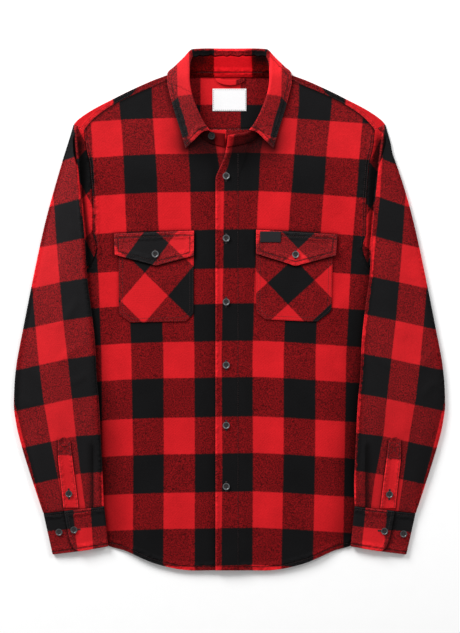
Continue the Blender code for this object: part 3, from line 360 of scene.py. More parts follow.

# How pale the cloth is painted, partly as wear and partly as painted light: the sleeves at their top and at the
# cuff, and the chest. The sleeve at -X and the top of the chest are painted palest, as painted light
SLEEVE_WORN_AND_LIT = {"right": (0.85, 0.4), "left": (0.2, 0.3)}
CHEST_WORN_AND_LIT = 0.22

# Cut of each piece: width and length in metres, and its flat area in square metres
FLAT = {
    "back": (0.52, 0.70, 0.31), "yoke": (0.49, 0.13, 0.0345),
    "front_right": (0.27, 0.76, 0.172), "front_left": (0.29, 0.76, 0.178),
    "collar_stand": (0.40, 0.034, 0.0098), "collar_fall": (0.44, 0.06, 0.0185),
    "sleeve_right": (0.30, 0.60, 0.115), "sleeve_left": (0.30, 0.60, 0.115),
    "cuff_right": (0.23, 0.067, 0.0138), "cuff_left": (0.23, 0.067, 0.0138),
    "gauntlet_right": (0.024, 0.11, 0.00245), "gauntlet_left": (0.024, 0.11, 0.00245),
    "pocket_right": (0.116, 0.138, 0.0155), "pocket_left": (0.118, 0.138, 0.0155),
    "flap_right": (0.123, 0.054, 0.0054), "flap_left": (0.125, 0.055, 0.0054),
    "hanger_loop": (0.01, 0.06, 0.00038), "neck_label": (0.053, 0.0348, 0.00182),
    "pocket_tag": (0.033, 0.0168, 0.00054),
}

# Lights, metres: name, place, what they aim at, size, watts
LIGHTS = (("key_light", (-2.05, 2.5, 1.72), (0.0, 0.0, 0.0), 1.8, 166.0),
          ("fill_light", (1.6, 1.5, 1.6), (0.0, 0.0, 0.0), 1.2, 27.0))
WORLD_LIGHT = 0.43

# Creases of the fronts: start x, y, end x, y, half width, height, sideways bend
FRONT_CREASES = (
    (-44.0, 205.0, -46.0, -398.0, 15.0, 1.5, 3.0), (36.0, 170.0, 33.0, -380.0, 16.0, 0.7, -3.0),
    (-188.0, 118.0, -150.0, 70.0, 8.0, 0.9, 6.0), (-190.0, 60.0, -128.0, -22.0, 10.0, 0.8, -7.0),
    (190.0, 112.0, 158.0, 66.0, 8.0, 0.9, -5.0), (188.0, 48.0, 132.0, -40.0, 10.0, 0.8, 8.0),
    (-172.0, -40.0, -164.0, -330.0, 16.0, 1.2, 9.0), (-118.0, -90.0, -126.0, -368.0, 18.0, 1.0, -8.0),
    (-74.0, -60.0, -70.0, -250.0, 13.0, 0.7, 6.0), (88.0, -70.0, 96.0, -300.0, 17.0, 1.1, -9.0),
    (150.0, -60.0, 140.0, -250.0, 14.0, 1.0, 7.0), (58.0, -210.0, 64.0, -385.0, 13.0, 0.9, 5.0),
    (168.0, -180.0, 160.0, -340.0, 15.0, 1.1, -5.0), (-150.0, 268.0, -168.0, 150.0, 14.0, 0.8, 6.0),
    (-96.0, 262.0, -92.0, 140.0, 16.0, 0.7, -5.0), (140.0, 258.0, 166.0, 146.0, 14.0, 0.9, -6.0),
    (92.0, 256.0, 84.0, 134.0, 15.0, 0.7, 5.0), (-64.0, 196.0, -52.0, 128.0, 9.0, 0.6, 3.0))
FLAT_FROM = (183.0, 200.0)       # the fronts lie flat again under the sleeves
NECK_CLEAR = (200.0, 250.0)      # and below the collar
# Painted shade: the line round the neck hollow from which it spreads, and how dark the cloth is painted beside
# the sleeves and the placket: height, depth of the painted shade, reach
NECK_SHADE_LINE = ((-58.0, 259.0), (-34.0, 252.0), (-8.0, 244.0), (14.0, 243.0), (36.0, 252.0),
               (58.0, 259.0))
SIDE_PAINTED_SHADE = {
    "right": ((260.0, 0.1, 8.0), (150.0, 0.3, 9.0), (40.0, 0.38, 11.0), (-60.0, 0.42, 14.0),
              (-150.0, 0.56, 26.0), (-240.0, 0.64, 33.0), (-400.0, 0.56, 30.0)),
    "left": ((260.0, 0.1, 8.0), (150.0, 0.3, 9.0), (40.0, 0.45, 14.0), (-60.0, 0.6, 23.0),
             (-150.0, 0.78, 21.0), (-185.0, 0.82, 20.0), (-240.0, 0.72, 25.0),
             (-400.0, 0.6, 28.0))}
# How far the painted shade of a sleeve's fold reaches over the cloth beside the armhole: height, reach
VALLEY_SHADE_REACH = {"right": ((276.0, 12.0), (230.0, 15.0), (168.0, 7.0), (107.0, 10.0), (60.0, 11.0)),
                "left": ((276.0, 10.0), (230.0, 12.0), (168.0, 9.0), (107.0, 7.5), (60.0, 8.0))}
PLACKET_PAINTED_SHADE = ((250.0, 0.3), (190.0, 0.42), (140.0, 0.2), (20.0, 0.28), (-90.0, 0.24),
                 (-200.0, 0.3), (-245.0, 0.42), (-290.0, 0.26), (-350.0, 0.48), (-400.0, 0.4))
# The fronts stand off the back by this much, and come down to it beside the sleeves
BODY_PLUMP = 3.2
PLUMP_ENDS = (128.0, 186.0)

# Creases of the sleeves, in the right one's place: as above
SLEEVE_CREASES = {
    "right": ((-262.0, 235.0, -292.0, 60.0, 15.0, 1.1, 5.0), (-300.0, 90.0, -318.0, -60.0, 12.0, 1.2, 6.0),
              (-240.0, 130.0, -262.0, 10.0, 10.0, 0.9, -5.0), (-232.0, 18.0, -268.0, -30.0, 7.0, 1.0, 4.0),
              (-222.0, -52.0, -262.0, -84.0, 6.5, 1.1, -3.0), (-218.0, -100.0, -250.0, -112.0, 6.0, 0.8, 3.0),
              (-316.0, -84.0, -286.0, -120.0, 8.0, 1.0, 4.0), (-322.0, -132.0, -300.0, -150.0, 7.0, 0.8, -3.0),
              (-300.0, -176.0, -284.0, -300.0, 11.0, 1.3, -4.0), (-272.0, -150.0, -262.0, -200.0, 8.0, 0.8, 3.0),
              (-222.0, -150.0, -216.0, -236.0, 9.0, 1.0, 3.0), (-200.0, -222.0, -200.0, -300.0, 6.0, 0.8, 0.0)),
    "left": ((-258.0, 225.0, -282.0, 80.0, 13.0, 1.0, -4.0), (-296.0, 120.0, -312.0, -40.0, 13.0, 1.1, 5.0),
             (-246.0, 100.0, -258.0, 0.0, 11.0, 1.0, 6.0), (-230.0, -6.0, -272.0, -44.0, 7.0, 0.9, -4.0),
             (-220.0, -66.0, -258.0, -92.0, 6.0, 1.0, 3.0), (-312.0, -62.0, -282.0, -94.0, 8.0, 0.9, -4.0),
             (-318.0, -112.0, -296.0, -136.0, 7.0, 1.0, 3.0), (-306.0, -164.0, -280.0, -298.0, 12.0, 1.2, 3.0),
             (-266.0, -120.0, -270.0, -190.0, 9.0, 0.9, -3.0), (-226.0, -130.0, -214.0, -240.0, 10.0, 1.1, -4.0),
             (-199.0, -226.0, -199.0, -300.0, 6.0, 0.9, 0.0)),
}
# Painted shade beside the pleat above each cuff
PLEAT_PAINTED_SHADE = {"right": 0.86, "left": 0.93}
LOW_SIDE = {"right": 0.04, "left": 0.14}      # painted shade: the lower sleeves lie farther from the light
CUFF_CLEAR = (-296.0, -276.0)    # the sleeves lie flat again at the cuffs

EDGE_TAPER = (0.25, 0.75, 0.95)        # thickness of the first lines of a sheet
EDGE_LINES = (0.25, 0.7)               # how far in the second and third lies, mm
MITER_LIMIT = 0.7
FEEL = 0.5


# ------------------------------------------------------------------ what a user may change

def srgb(text, alpha=None):
    """A linear colour from an sRGB hex value."""
    parts = [int(text[i:i + 2], 16) / 255 for i in (1, 3, 5)]
    linear = [p / 12.92 if p <= 0.04045 else ((p + 0.055) / 1.055) ** 2.4 for p in parts]
    return tuple(linear) + (() if alpha is None else (alpha,))


def colour_property(name, description, text):
    """A colour to choose, with its sRGB hex value as default."""
    return bpy.props.FloatVectorProperty(name=name, description=description, subtype="COLOR",
                                         size=3, min=0.0, max=1.0, default=srgb(text))


def length_property(name, description, size_mm):
    """A length to choose, with its default in millimetres."""
    return bpy.props.FloatProperty(name=name, description=description, subtype="DISTANCE",
                                   unit="LENGTH", min=0.0, precision=5, default=size_mm * MM)


class ShirtSizes(bpy.types.PropertyGroup):
    """Sizes of the check, the stitches and the buttons"""
    check_warp: length_property("Check across", "One red and one black band of the warp", 96.4)
    check_weft: length_property("Check along", "One red and one black band of the weft", 115.2)
    red_share: bpy.props.FloatProperty(name="Red share", description="Part of a band that is red",
                                       subtype="FACTOR", min=0.1, max=0.9, default=0.487)
    net: length_property("Net", "Distance between the points of the panels", 3.0)
    crease: bpy.props.FloatProperty(name="Creases", description="How deep the creases are",
                                    subtype="FACTOR", min=0.0, max=2.0, default=1.35)
    stitch_pitch: length_property("Stitch pitch", "From one stitch to the next", 3.1)
    stitch_length: length_property("Stitch length", "Thread that shows of one stitch", 2.4)
    stitch_width: length_property("Stitch width", "Diameter of the sewing thread", 0.42)
    button_width: length_property("Button", "Diameter of a button", 11.0)
    button_height: length_property("Button height", "From its foot to its rim", 2.4)


class ShirtColours(bpy.types.PropertyGroup):
    """Colours of the yarns and trims"""
    red: colour_property("Red yarn", "Brushed cotton, red", "#C31B21")
    black: colour_property("Black yarn", "Brushed cotton, black", "#121213")
    mixed_dark: colour_property("Black yarn among red", "Black warp that red nap covers", "#080607")
    red_thread: colour_property("Sewing thread", "Thread of the seams", "#26080A")
    label: colour_property("Neck label", "Woven satin", "#E4E4E5")
    tag: colour_property("Pocket tag", "Woven tape", "#17171A")
    button: colour_property("Buttons", "Moulded polyester", "#242527")
    # The rim's paler colour stands partly for a paler rim and partly for a painted highlight of its reflection
    button_rim: colour_property("Button rims", "The same, rubbed pale by wear", "#56585A")
    floor: colour_property("Floor", "Matt board", "#FBFBFB")


# ------------------------------------------------------------------ curves

def hermite(a, b, slope_a, slope_b, step, t):
    """A point between two others, with a slope at each."""
    return ((1 + 2 * t) * (1 - t) ** 2 * a + t * (1 - t) ** 2 * step * slope_a
            + t * t * (3 - 2 * t) * b + t * t * (t - 1) * step * slope_b)


def blended(before, after):
    """The slope between two rates of change that never overshoots."""
    product = before * after
    safe = np.where(product > 0.0, before + after, 1.0)
    slope = np.where(product > 0.0, 2.0 * product / safe, 0.0)
    slope = np.where(np.isnan(before), after, slope)
    slope = np.where(np.isnan(after), before, slope)
    return np.nan_to_num(slope)


def read(table, at, column=1):
    """Values of a smooth curve through the rows of a table, at values of its first column."""
    rows = np.array(sorted(table), dtype=float)
    keys, vals = rows[:, 0], rows[:, column]
    steps = np.diff(keys)
    rates = np.concatenate(([math.nan], np.diff(vals) / steps, [math.nan]))
    slopes = blended(rates[:-1], rates[1:])
    at = np.clip(np.asarray(at, dtype=float), keys[0], keys[-1])
    i = np.clip(np.searchsorted(keys, at, side="right") - 1, 0, len(steps) - 1)
    return hermite(vals[i], vals[i + 1], slopes[i], slopes[i + 1], steps[i], (at - keys[i]) / steps[i])


def spline(points, steps):
    """A smooth curve through some points, with a number of steps for each span."""
    pts = np.array(points, dtype=float)
    lengths = np.linalg.norm(np.diff(pts, axis=0), axis=1)
    slopes = np.gradient(pts, np.concatenate(([0.0], np.cumsum(lengths))), axis=0)
    out = []
    for i, h in enumerate(lengths):
        for t in np.arange(steps[i]) / steps[i]:
            out.append(hermite(pts[i], pts[i + 1], slopes[i], slopes[i + 1], h, t))
    return np.array(out + [pts[-1]])


def ease(low, high, at):
    """0 before low, 1 past high, and a smooth step between them."""
    t = np.clip((at - low) / (high - low), 0.0, 1.0)
    return t * t * (3.0 - 2.0 * t)


def grown(change, at):
    """How far a change has gone at a height."""
    low, high, reach = change
    return reach * ease(low, high, at)


def arc(centre_x, centre_z, radius, start, end, count):
    """Points of an arc in a section, angles in degrees."""
    angles = [math.radians(start + (end - start) * i / (count - 1)) for i in range(count)]
    return [(centre_x + radius * math.cos(a), centre_z + radius * math.sin(a)) for a in angles]


def between(first, last, count):
    """Evenly spaced section points between two others, without them."""
    first, last = np.array(first), np.array(last)
    return [tuple(first + (last - first) * (i + 1) / (count + 1)) for i in range(count)]


def mix(a, b, share):
    """A point between two others."""
    return tuple(np.array(a) * (1 - share) + np.array(b) * share)


def unit(vectors):
    """Vectors of length one, and zero where there is no length."""
    length = np.linalg.norm(vectors, axis=-1, keepdims=True)
    return vectors / np.maximum(length, 1e-9)


def flipped(points, sign):
    """Points of the wearer's right side, or their mirror image for sign 1."""
    out = np.array(points, dtype=float)
    out[..., 0] *= -sign
    return out


def away_from(x, y, line):
    """Distance of plan points from a polyline, and the side on which they lie."""
    pts = np.array(line, dtype=float)
    best = np.full(np.shape(x), 1e9)
    side = np.zeros(np.shape(x))
    for (ax, ay), (bx, by) in zip(pts[:-1], pts[1:]):
        dx, dy = bx - ax, by - ay
        share = np.clip(((x - ax) * dx + (y - ay) * dy) / (dx * dx + dy * dy), 0.0, 1.0)
        far = np.hypot(x - ax - share * dx, y - ay - share * dy)
        turn = np.sign(dx * (y - ay) - dy * (x - ax))
        side = np.where(far < best - 1e-6, turn, side)
        best = np.minimum(best, far)
    return best, side


# ------------------------------------------------------------------ sheets of cloth

def refine(grid, axis, step, ends=True):
    """A grid with more lines along one of its ways, and where its own lines are now."""
    grid = np.moveaxis(np.array(grid, dtype=float), axis, 0)
    spans = np.linalg.norm(np.diff(grid[..., :3], axis=0), axis=-1)
    lengths = np.maximum(np.nanmean(spans, axis=1), 1e-6)
    counts = np.maximum(np.ceil(np.nanmax(spans, axis=1) / step), 1).astype(int)
    rates = np.diff(grid, axis=0) / lengths.reshape((-1,) + (1,) * (grid.ndim - 1))
    none = np.full_like(rates[:1], math.nan)
    slopes = blended(np.concatenate((none, rates)), np.concatenate((rates, none)))
    lines = []
    places = []
    last = len(counts) - 1
    for i, count in enumerate(counts):
        shares = list(np.arange(count) / count)
        if ends and i == 0:
            shares[1:1] = [d / lengths[0] for d in EDGE_LINES if d < 0.8 * lengths[0] / count]
        if ends and i == last:
            shares += [1 - d / lengths[last] for d in reversed(EDGE_LINES)
                       if d < 0.8 * lengths[last] / count]
        places.append(len(lines))
        for t in shares:
            lines.append(grid[i] if t == 0 else
                         hermite(grid[i], grid[i + 1], slopes[i], slopes[i + 1], lengths[i], t))
    places.append(len(lines))
    lines.append(grid[-1])
    return np.moveaxis(np.array(lines), 0, axis), places


def tapered(thick, rows=True, cols=True):
    """Thins the edges of a sheet, so that they come out round."""
    thick = thick.copy()
    for number, share in enumerate(EDGE_TAPER):
        if rows:
            thick[number] *= share
            thick[-1 - number] *= share
        if cols:
            thick[:, number] *= share
            thick[:, -1 - number] *= share
    return thick


def directions(grid, axis):
    """Bisecting direction at each point along one way of a grid, and its miter."""
    steps = unit(np.nan_to_num(np.diff(grid, axis=axis)))
    none = np.zeros_like(np.take(steps, [0], axis=axis))
    before = np.concatenate((none, steps), axis=axis)
    after = np.concatenate((steps, none), axis=axis)
    before = np.where(np.any(before, axis=-1, keepdims=True), before, after)
    after = np.where(np.any(after, axis=-1, keepdims=True), after, before)
    middle = unit(before + after)
    cosine = np.sum(middle * after, axis=-1, keepdims=True)
    return middle, 1.0 / np.maximum(cosine, MITER_LIMIT)


def shell(name, grid, thick, cloth_uv, marks):
    """A closed cloth wall round a grid of middle points, with its threads as a UV map."""
    rows, cols = grid.shape[:2]
    along, miter_a = directions(grid, 1)
    across, miter_b = directions(grid, 0)
    normal = unit(np.cross(along, across))
    reach = normal * thick[..., None] / 2 * np.maximum(miter_a, miter_b)
    points = np.concatenate(((grid + reach).reshape(-1, 3), (grid - reach).reshape(-1, 3)))
    there = np.isfinite(grid[..., 0])
    cell = there[:-1, :-1] & there[1:, :-1] & there[:-1, 1:] & there[1:, 1:]
    number = np.arange(rows * cols).reshape(rows, cols)
    under = rows * cols
    corners = (number[:-1, :-1], number[:-1, 1:], number[1:, 1:], number[1:, :-1])
    top = np.stack(corners, axis=-1)[cell]
    faces = [top, under + top[:, ::-1]]
    padded = np.pad(cell, 1)
    for beside, a, b in ((padded[:-2, 1:-1], 0, 1), (padded[1:-1, 2:], 1, 2),
                         (padded[2:, 1:-1], 2, 3), (padded[1:-1, :-2], 3, 0)):
        rim = cell & ~beside
        first, second = corners[a][rim], corners[b][rim]
        faces.append(np.stack((second, first, under + first, under + second), axis=-1))
    faces = np.concatenate(faces)
    used, faces = np.unique(faces, return_inverse=True)
    faces = faces.reshape(-1, 4)
    points = points[used]
    a, b, c, d = (points[faces[:, i]] for i in range(4))
    if np.sum(a * (np.cross(b, c) + np.cross(c, d))) < 0.0:
        faces = faces[:, ::-1]
    place = np.concatenate((cloth_uv.reshape(-1, 2),) * 2)[used] * MM
    marks = {key: np.concatenate((value.reshape(-1),) * 2)[used] for key, value in marks.items()}
    return mesh_object(name, points, faces, place, marks)


def mesh_object(name, points_mm, faces, cloth_uv, marks):
    """An object at the origin from points in millimetres, with its threads and marks."""
    mesh = bpy.data.meshes.new(name)
    mesh.from_pydata((np.asarray(points_mm) * MM).tolist(), [], np.asarray(faces).tolist())
    layer = mesh.uv_layers.new(name="Cloth")
    layer.data.foreach_set("uv", cloth_uv[np.asarray(faces).reshape(-1)].reshape(-1))
    for key, value in marks.items():
        layer = mesh.attributes.new(key, "FLOAT", "POINT")
        layer.data.foreach_set("value", np.nan_to_num(value).astype(np.float32))
    mesh.shade_smooth()
    piece = bpy.data.objects.new(name, mesh)
    bpy.context.collection.objects.link(piece)
    return piece


def height_reader(pieces):
    """A function that gives the highest point of some pieces over a place, in mm."""
    trees = []
    for piece in pieces:
        corners = [v.co.copy() for v in piece.data.vertices]
        trees.append(BVHTree.FromPolygons(corners, [tuple(p.vertices) for p in piece.data.polygons]))

    def read_height(x, y):
        heights = [0.0]
        for step_x, step_y in ((0, 0), (1, 0), (-1, 0), (0, 1), (0, -1)):
            above = Vector(((x + step_x * FEEL) * MM, (y + step_y * FEEL) * MM, 1.0))
            for tree in trees:
                hit = tree.ray_cast(above, Vector((0.0, 0.0, -1.0)))[0]
                if hit is not None:
                    heights.append(hit.z / MM)
        return max(heights)
    return read_height


def laid(plan, height_at, clear, thick):
    """Gives a plan grid its height on what lies below it."""
    grid = np.array(plan, dtype=float)
    below = np.array([height_at(spot[0], spot[1]) for spot in grid.reshape(-1, grid.shape[-1])])
    below = below.reshape(grid.shape[:2])
    for _ in range(LAID_PASSES):
        for axis in (0, 1):
            ends = np.pad(below, [(1, 1) if way == axis else (0, 0) for way in (0, 1)], "edge")
            before, after = (np.take(ends, range(first, first + below.shape[axis]), axis)
                             for first in (0, 2))
            below = (before + 2.0 * below + after) / 4.0
    grid[..., 2] += below + clear + thick / 2
    return grid


# ------------------------------------------------------------------ where the threads run

def thread_place(number, period):
    """Place of a colour edge along the threads: even ones start red, odd ones black."""
    share = bpy.context.scene.shirt_sizes.red_share
    return (number // 2 + (number % 2) * share) * period


def stretch(at, edges, first, period):
    """Place along the threads of points, from the colour edges beside them.

    The edges run up with the points, and the first of them has the number first.
    """
    edges = np.broadcast_to(edges, np.shape(at) + np.shape(edges)[-1:])
    places = np.array([thread_place(first + i, period) for i in range(edges.shape[-1])])
    i = np.clip(np.sum(np.asarray(at)[..., None] >= edges, axis=-1) - 1, 0, edges.shape[-1] - 2)
    low = np.take_along_axis(edges, i[..., None], -1)[..., 0]
    high = np.take_along_axis(edges, i[..., None] + 1, -1)[..., 0]
    return places[i] + (at - low) / (high - low) * (places[i + 1] - places[i])


def edges_at(table, y):
    """The colour edges of a table at some heights."""
    rows = np.array(sorted(table))
    return np.stack([np.interp(y, rows[:, 0], rows[:, i]) for i in range(1, rows.shape[1])], -1)


def periods():
    """The repeat of the warp and of the weft, mm."""
    sizes = bpy.context.scene.shirt_sizes
    return sizes.check_warp / MM, sizes.check_weft / MM


def body_threads(x, y):
    """Threads of the fronts and the back."""
    warp, weft = periods()
    right = stretch(x, edges_at(WARP_RIGHT, y), 0, warp)
    left = stretch(x, edges_at(WARP_LEFT, y), 1, warp)
    sag = np.interp(x, *np.array(BODY_SAG).T)
    v = stretch(-(y + sag), -np.array(BODY_ROWS), -1, weft)
    return right, left, v


def sleeve_threads(x, y, side):
    """Threads of the top of a sleeve, in the right one's place."""
    warp, weft = periods()
    edges = edges_at(WARP_SLEEVE, y)
    share = bpy.context.scene.shirt_sizes.red_share
    outer = edges[..., :1] - (1.0 - share) / share * (edges[..., 1:2] - edges[..., :1])
    steeper, lower = 0.0, 0.0
    if side == "left":
        edges[..., :2] += edges_at(WARP_MOVED_LEFT, y)
        edges[..., 2] = edges_at(WARP_FOLD_LEFT, y)[..., 0]
        steeper, lower = LEFT_RISE, grown(LEFT_ROW_DROP, y)
    u = stretch(x, np.concatenate((outer, edges), -1), -1, warp)
    away = x - edges[..., 1]
    tilt = np.where(away > 0.0, read(SLEEVE_TILT, y) + steeper, SLEEVE_TILT_OUTER)
    v = stretch(-(y + lower - tilt * away), -np.array(SLEEVE_ROWS), -1, weft)
    return u, v


# ------------------------------------------------------------------ body

def bump_field(x, y, table):
    """Height of some soft swells: middle x, middle y, half width, half height, rise, turn."""
    total = np.zeros(np.shape(x))
    for mid_x, mid_y, half_w, half_h, rise, *turn in table:
        angle = math.radians(turn[0]) if turn else 0.0
        dx, dy = x - mid_x, y - mid_y
        along = (dx * math.cos(angle) + dy * math.sin(angle)) / half_w
        across = (dy * math.cos(angle) - dx * math.sin(angle)) / half_h
        total += rise * np.clip(1.0 - along ** 2 - across ** 2, 0.0, None) ** 2
    return total


def section_line(height):
    """Where a sleeve section runs: its height at an x, and its outer end."""
    drop = float(read(SLEEVE_DROP, height))
    outer_x = float(read(SLEEVE_OUTER, height - drop))
    rate = drop / (SLEEVE_REF_X - outer_x)

    def y_at(x):
        return height - (SLEEVE_REF_X - x) * rate
    return y_at, outer_x


def crossing(table, y_at):
    """The x where a section line crosses a curve."""
    x = SLEEVE_REF_X
    for _ in range(12):
        x = float(read(table, y_at(x)))
    return x


def armhole_points(table):
    """The armhole seam at each sleeve section, from the shoulder to the armpit."""
    points = []
    for height in SLEEVE_TOPS[:LAST_SEAM_ROW + 1]:
        y_at, _ = section_line(height)
        x = crossing(table, y_at)
        points.append((x, y_at(x)))
    return points + [(SIDE_X, ARMPIT_Y)]


def yoke_grid():
    """Lies on the back, folds over each shoulder and ends in a strip on the front."""
    fold = CLOTH / 2 + GAP / 2
    middle = CLOTH / 2
    columns = []
    for fold_x, fold_y, seam_x, seam_y in SHOULDER:
        low = np.array((seam_x, YOKE_SEAM_Y + GAP))
        edge = np.array((fold_x, fold_y))
        seam = np.array((seam_x, seam_y))
        inward = unit(seam - edge)
        centre = edge + inward * (fold + CLOTH / 2)
        column = [(*low, middle)]
        column += [(*(low + (centre - low) * share), middle) for share in (0.3, 0.65)]
        for angle in (-90.0, -30.0, 30.0, 90.0):
            out = -inward * fold * math.cos(math.radians(angle))
            column.append((*(centre + out), middle + fold * (1 + math.sin(math.radians(angle)))))
        column.append((*seam, middle + 2 * fold))
        columns.append(column)
    for x, y in YOKE_NECK:
        low = np.array((x, YOKE_SEAM_Y + GAP))
        top = np.array((x, y))
        flat = [(*(low + (top - low) * share), middle) for share in (0.0, 0.3, 0.65, 1.0)]
        columns.append(flat + [ABSENT] * 4)
    right = [np.array(column) for column in columns]
    left = [flipped(column, 1.0) for column in reversed(right[:-1])]
    return np.array(right + left)


def front_rows(edge_table, edge_x):
    """Side and front ends of each row of a front, hem first: side x, y, edge x, y, bow."""
    rows = []
    top = ARMPIT_Y - ROW_CLEAR
    middle_y = HEM[-1][1]
    for share, bow in FRONT_ROWS:
        side_y = SIDE_END_Y + (top - SIDE_END_Y) * share
        edge_y = middle_y + (top - middle_y) * share
        rows.append((SIDE_X, side_y, edge_x, edge_y, bow))
    for x, y in reversed(armhole_points(ARMHOLE)):
        edge_y = y - ROW_DROP * (max(y - ROW_DROP_FROM, 0.0) / ROW_DROP_LENGTH) ** 2
        rows.append((x + GAP, y, float(read(edge_table, edge_y)), edge_y, 0.0))
    for (_, _, seam_x, seam_y), (neck_x, neck_y) in zip(SHOULDER[1:], reversed(FRONT_NECK)):
        rows.append((seam_x, seam_y - GAP - SEAM_EASE, neck_x, neck_y, 0.0))
    return rows


def front_grid(sign, edge_table, edge_x, band):
    """A front from its rows, with its thickness. The side is at -X and the edge at +X."""
    at_edge = BAND_COLUMNS if band else EDGE_COLUMNS
    across = np.arange(1, SIDE_COLUMNS + 1) / SIDE_COLUMNS
    grid = []
    for side_x, side_y, end_x, end_y, bow in front_rows(edge_table, edge_x):
        width = end_x - side_x
        scale = min(1.0, width * EDGE_SHARE / at_edge[-1])
        xs = [end_x - d * scale for d in at_edge]
        xs += [xs[-1] + (side_x - xs[-1]) * share for share in across]
        row = []
        for number, x in enumerate(xs):
            share = (x - side_x) / width
            chord = side_y + (end_y - side_y) * share
            hem_chord = SIDE_END_Y + (HEM[-1][1] - SIDE_END_Y) * share
            y = chord + bow * (float(read(HEM, x)) - hem_chord)
            in_band = band and number <= BAND_LAST and end_y < NECK_START_Y
            wall = BAND_CLOTH if in_band else CLOTH
            row.append((-sign * x, y, 0.0, wall))
        grid.append(row)
    return np.array(grid)


def front_height(x, y, band):
    """Underside of a front over the surface."""
    lift = (BAND_Z - FRONT_Z) * ease(*BAND_STEP, x) if band else 0.0
    return FRONT_Z + lift + bump_field(x, y, SWELLS)


def crease_field(x, y, table):
    """Height of some creases, which fade out towards their ends."""
    total = np.zeros(np.shape(x))
    for start_x, start_y, end_x, end_y, half, height, bend in table:
        dx, dy = end_x - start_x, end_y - start_y
        length = math.hypot(dx, dy)
        along = ((x - start_x) * dx + (y - start_y) * dy) / length ** 2
        shape = np.sin(math.pi * np.clip(along, 0.0, 1.0))
        across = ((y - start_y) * dx - (x - start_x) * dy) / length - bend * shape
        total += height * np.sqrt(shape) * np.exp(-(across / half) ** 2)
    return total


def front_creases(x, y):
    """Height of the air and the creases in the fronts. They end before the seams and the neck."""
    inside = 1.0 - ease(*FLAT_FROM, np.abs(x))
    below = 1.0 - ease(*NECK_CLEAR, y)
    at_neck = 1.0 - (1.0 - below) * (1.0 - ease(88.0, 112.0, np.abs(x)))
    plump = BODY_PLUMP * (1.0 - ease(*PLUMP_ENDS, np.abs(x))) * below
    return crease_field(x, y, FRONT_CREASES) * inside * at_neck + plump


def shaded(*parts):
    """Several painted shades as one, from 0 to 1."""
    clear = 1.0
    for part in parts:
        clear = clear * (1.0 - np.clip(part, 0.0, 1.0))
    return 1.0 - clear


def inner_edge(side):
    """The fold of a sleeve beside the body, in the right one's place, as points x, y."""
    reach = {"right": 0.0, "left": 1.0}[side]
    return [(px + reach * float(read(LEFT_REACH, py)), py) for py, px in SLEEVE_INNER]


def front_painted_shade(x, y, name):
    """Painted shade on a front: how dark a place is painted beside the pieces that stand off it."""
    neck = 0.93 * np.exp(-(away_from(x, y, NECK_SHADE_LINE)[0] / 30.0) ** 2)
    if name == "front_right":
        neck = neck * (1.0 - 0.5 * np.exp(-((x + 15.0) / 8.0) ** 2))
    if name == "front_left":
        band = [(BAND_EDGE_X, 150.0)] + [(px, py) for py, px in BAND_EDGE]
        neck = neck * (1.0 - 0.85 * np.exp(-(away_from(x, y, band)[0] / 4.5) ** 2))
    leaf = [station[3][:2] for station in FALL[:8]]
    tip = [leaf[0], FALL[0][0][:2]]
    far_leaf, far_tip = (away_from(-np.abs(x), y, line)[0] for line in (leaf, tip))
    collar = shaded(0.5 * np.exp(-(far_leaf / 6.5) ** 2), 0.6 * np.exp(-(far_tip / 7.5) ** 2))
    side = name[6:]
    far = away_from(-np.abs(x), y, inner_edge(side) + [(-188.0, -368.0)])[0]
    beside = SIDE_PAINTED_SHADE[side]
    sleeve = read(beside, y, 1) * np.exp(-(far / read(beside, y, 2)) ** 2)
    parts = [neck, collar, sleeve]
    if name == "front_right":
        parts.append(read(PLACKET_PAINTED_SHADE, y) * np.exp(-((BAND_EDGE_X - x) / 8.0) ** 2))
    seam = [(px, py) for _, _, px, py in SHOULDER]
    parts.append(0.8 * np.exp(-(away_from(-np.abs(x), y, seam)[0] / 3.0) ** 2))
    flap = FLAP_RIGHT if name == "front_right" else FLAP_LEFT
    parts.append(0.5 * np.exp(-(away_from(x, y, list(flap) + [flap[0]])[0] / 3.6) ** 2))
    ring = POCKET_RIGHT if name == "front_right" else POCKET_LEFT
    parts.append(0.3 * np.exp(-(away_from(x, y, list(ring) + [ring[0]])[0] / 3.4) ** 2))
    return shaded(*parts)


def sleeve_painted_shade(x, y, side):
    """Painted shade on a sleeve's top, in the right one's place."""
    pleat = ((PLEAT_X, PLEAT_TOP_Y + 14.0), (PLEAT_X, -306.0))
    far = away_from(x, y, pleat)[0]
    reach = np.where(x < PLEAT_X, 6.5, 2.0)
    beside_pleat = PLEAT_PAINTED_SHADE[side] * np.exp(-(far / reach) ** 2)
    low = GAUNTLET[1:]
    edges = np.minimum(away_from(x, y, [(m - half, py) for m, py, half in low])[0],
                       away_from(x, y, [(m + half, py) for m, py, half in low])[0])
    placket = 0.4 * np.exp(-(edges / 3.4) ** 2)
    cuff = 0.3 * np.exp(-(np.maximum(y - read(CUFF_TOP, x), 0.0) / 5.0) ** 2)
    low_side = LOW_SIDE[side] * (1.0 - ease(-240.0, 20.0, y))
    return shaded(beside_pleat, placket, cuff, low_side)


def valley_painted_shade(x, y, side):
    """Painted shade on the cloth of a sleeve between the armhole and the sleeve's fold."""
    far = away_from(x, y, inner_edge(side))[0]
    by_fold = 0.97 * np.exp(-(far / read(VALLEY_SHADE_REACH[side], y)) ** 4)
    return shaded(0.16, by_fold) * ease(0.6, 2.4, far) * (1.0 - ease(256.0, 284.0, y))


def sleeve_creases(x, y, side):
    """Height of the creases of a sleeve's top, in the right sleeve's place."""
    return crease_field(x, y, SLEEVE_CREASES[side]) * ease(*CUFF_CLEAR, y)


# ------------------------------------------------------------------ sleeves

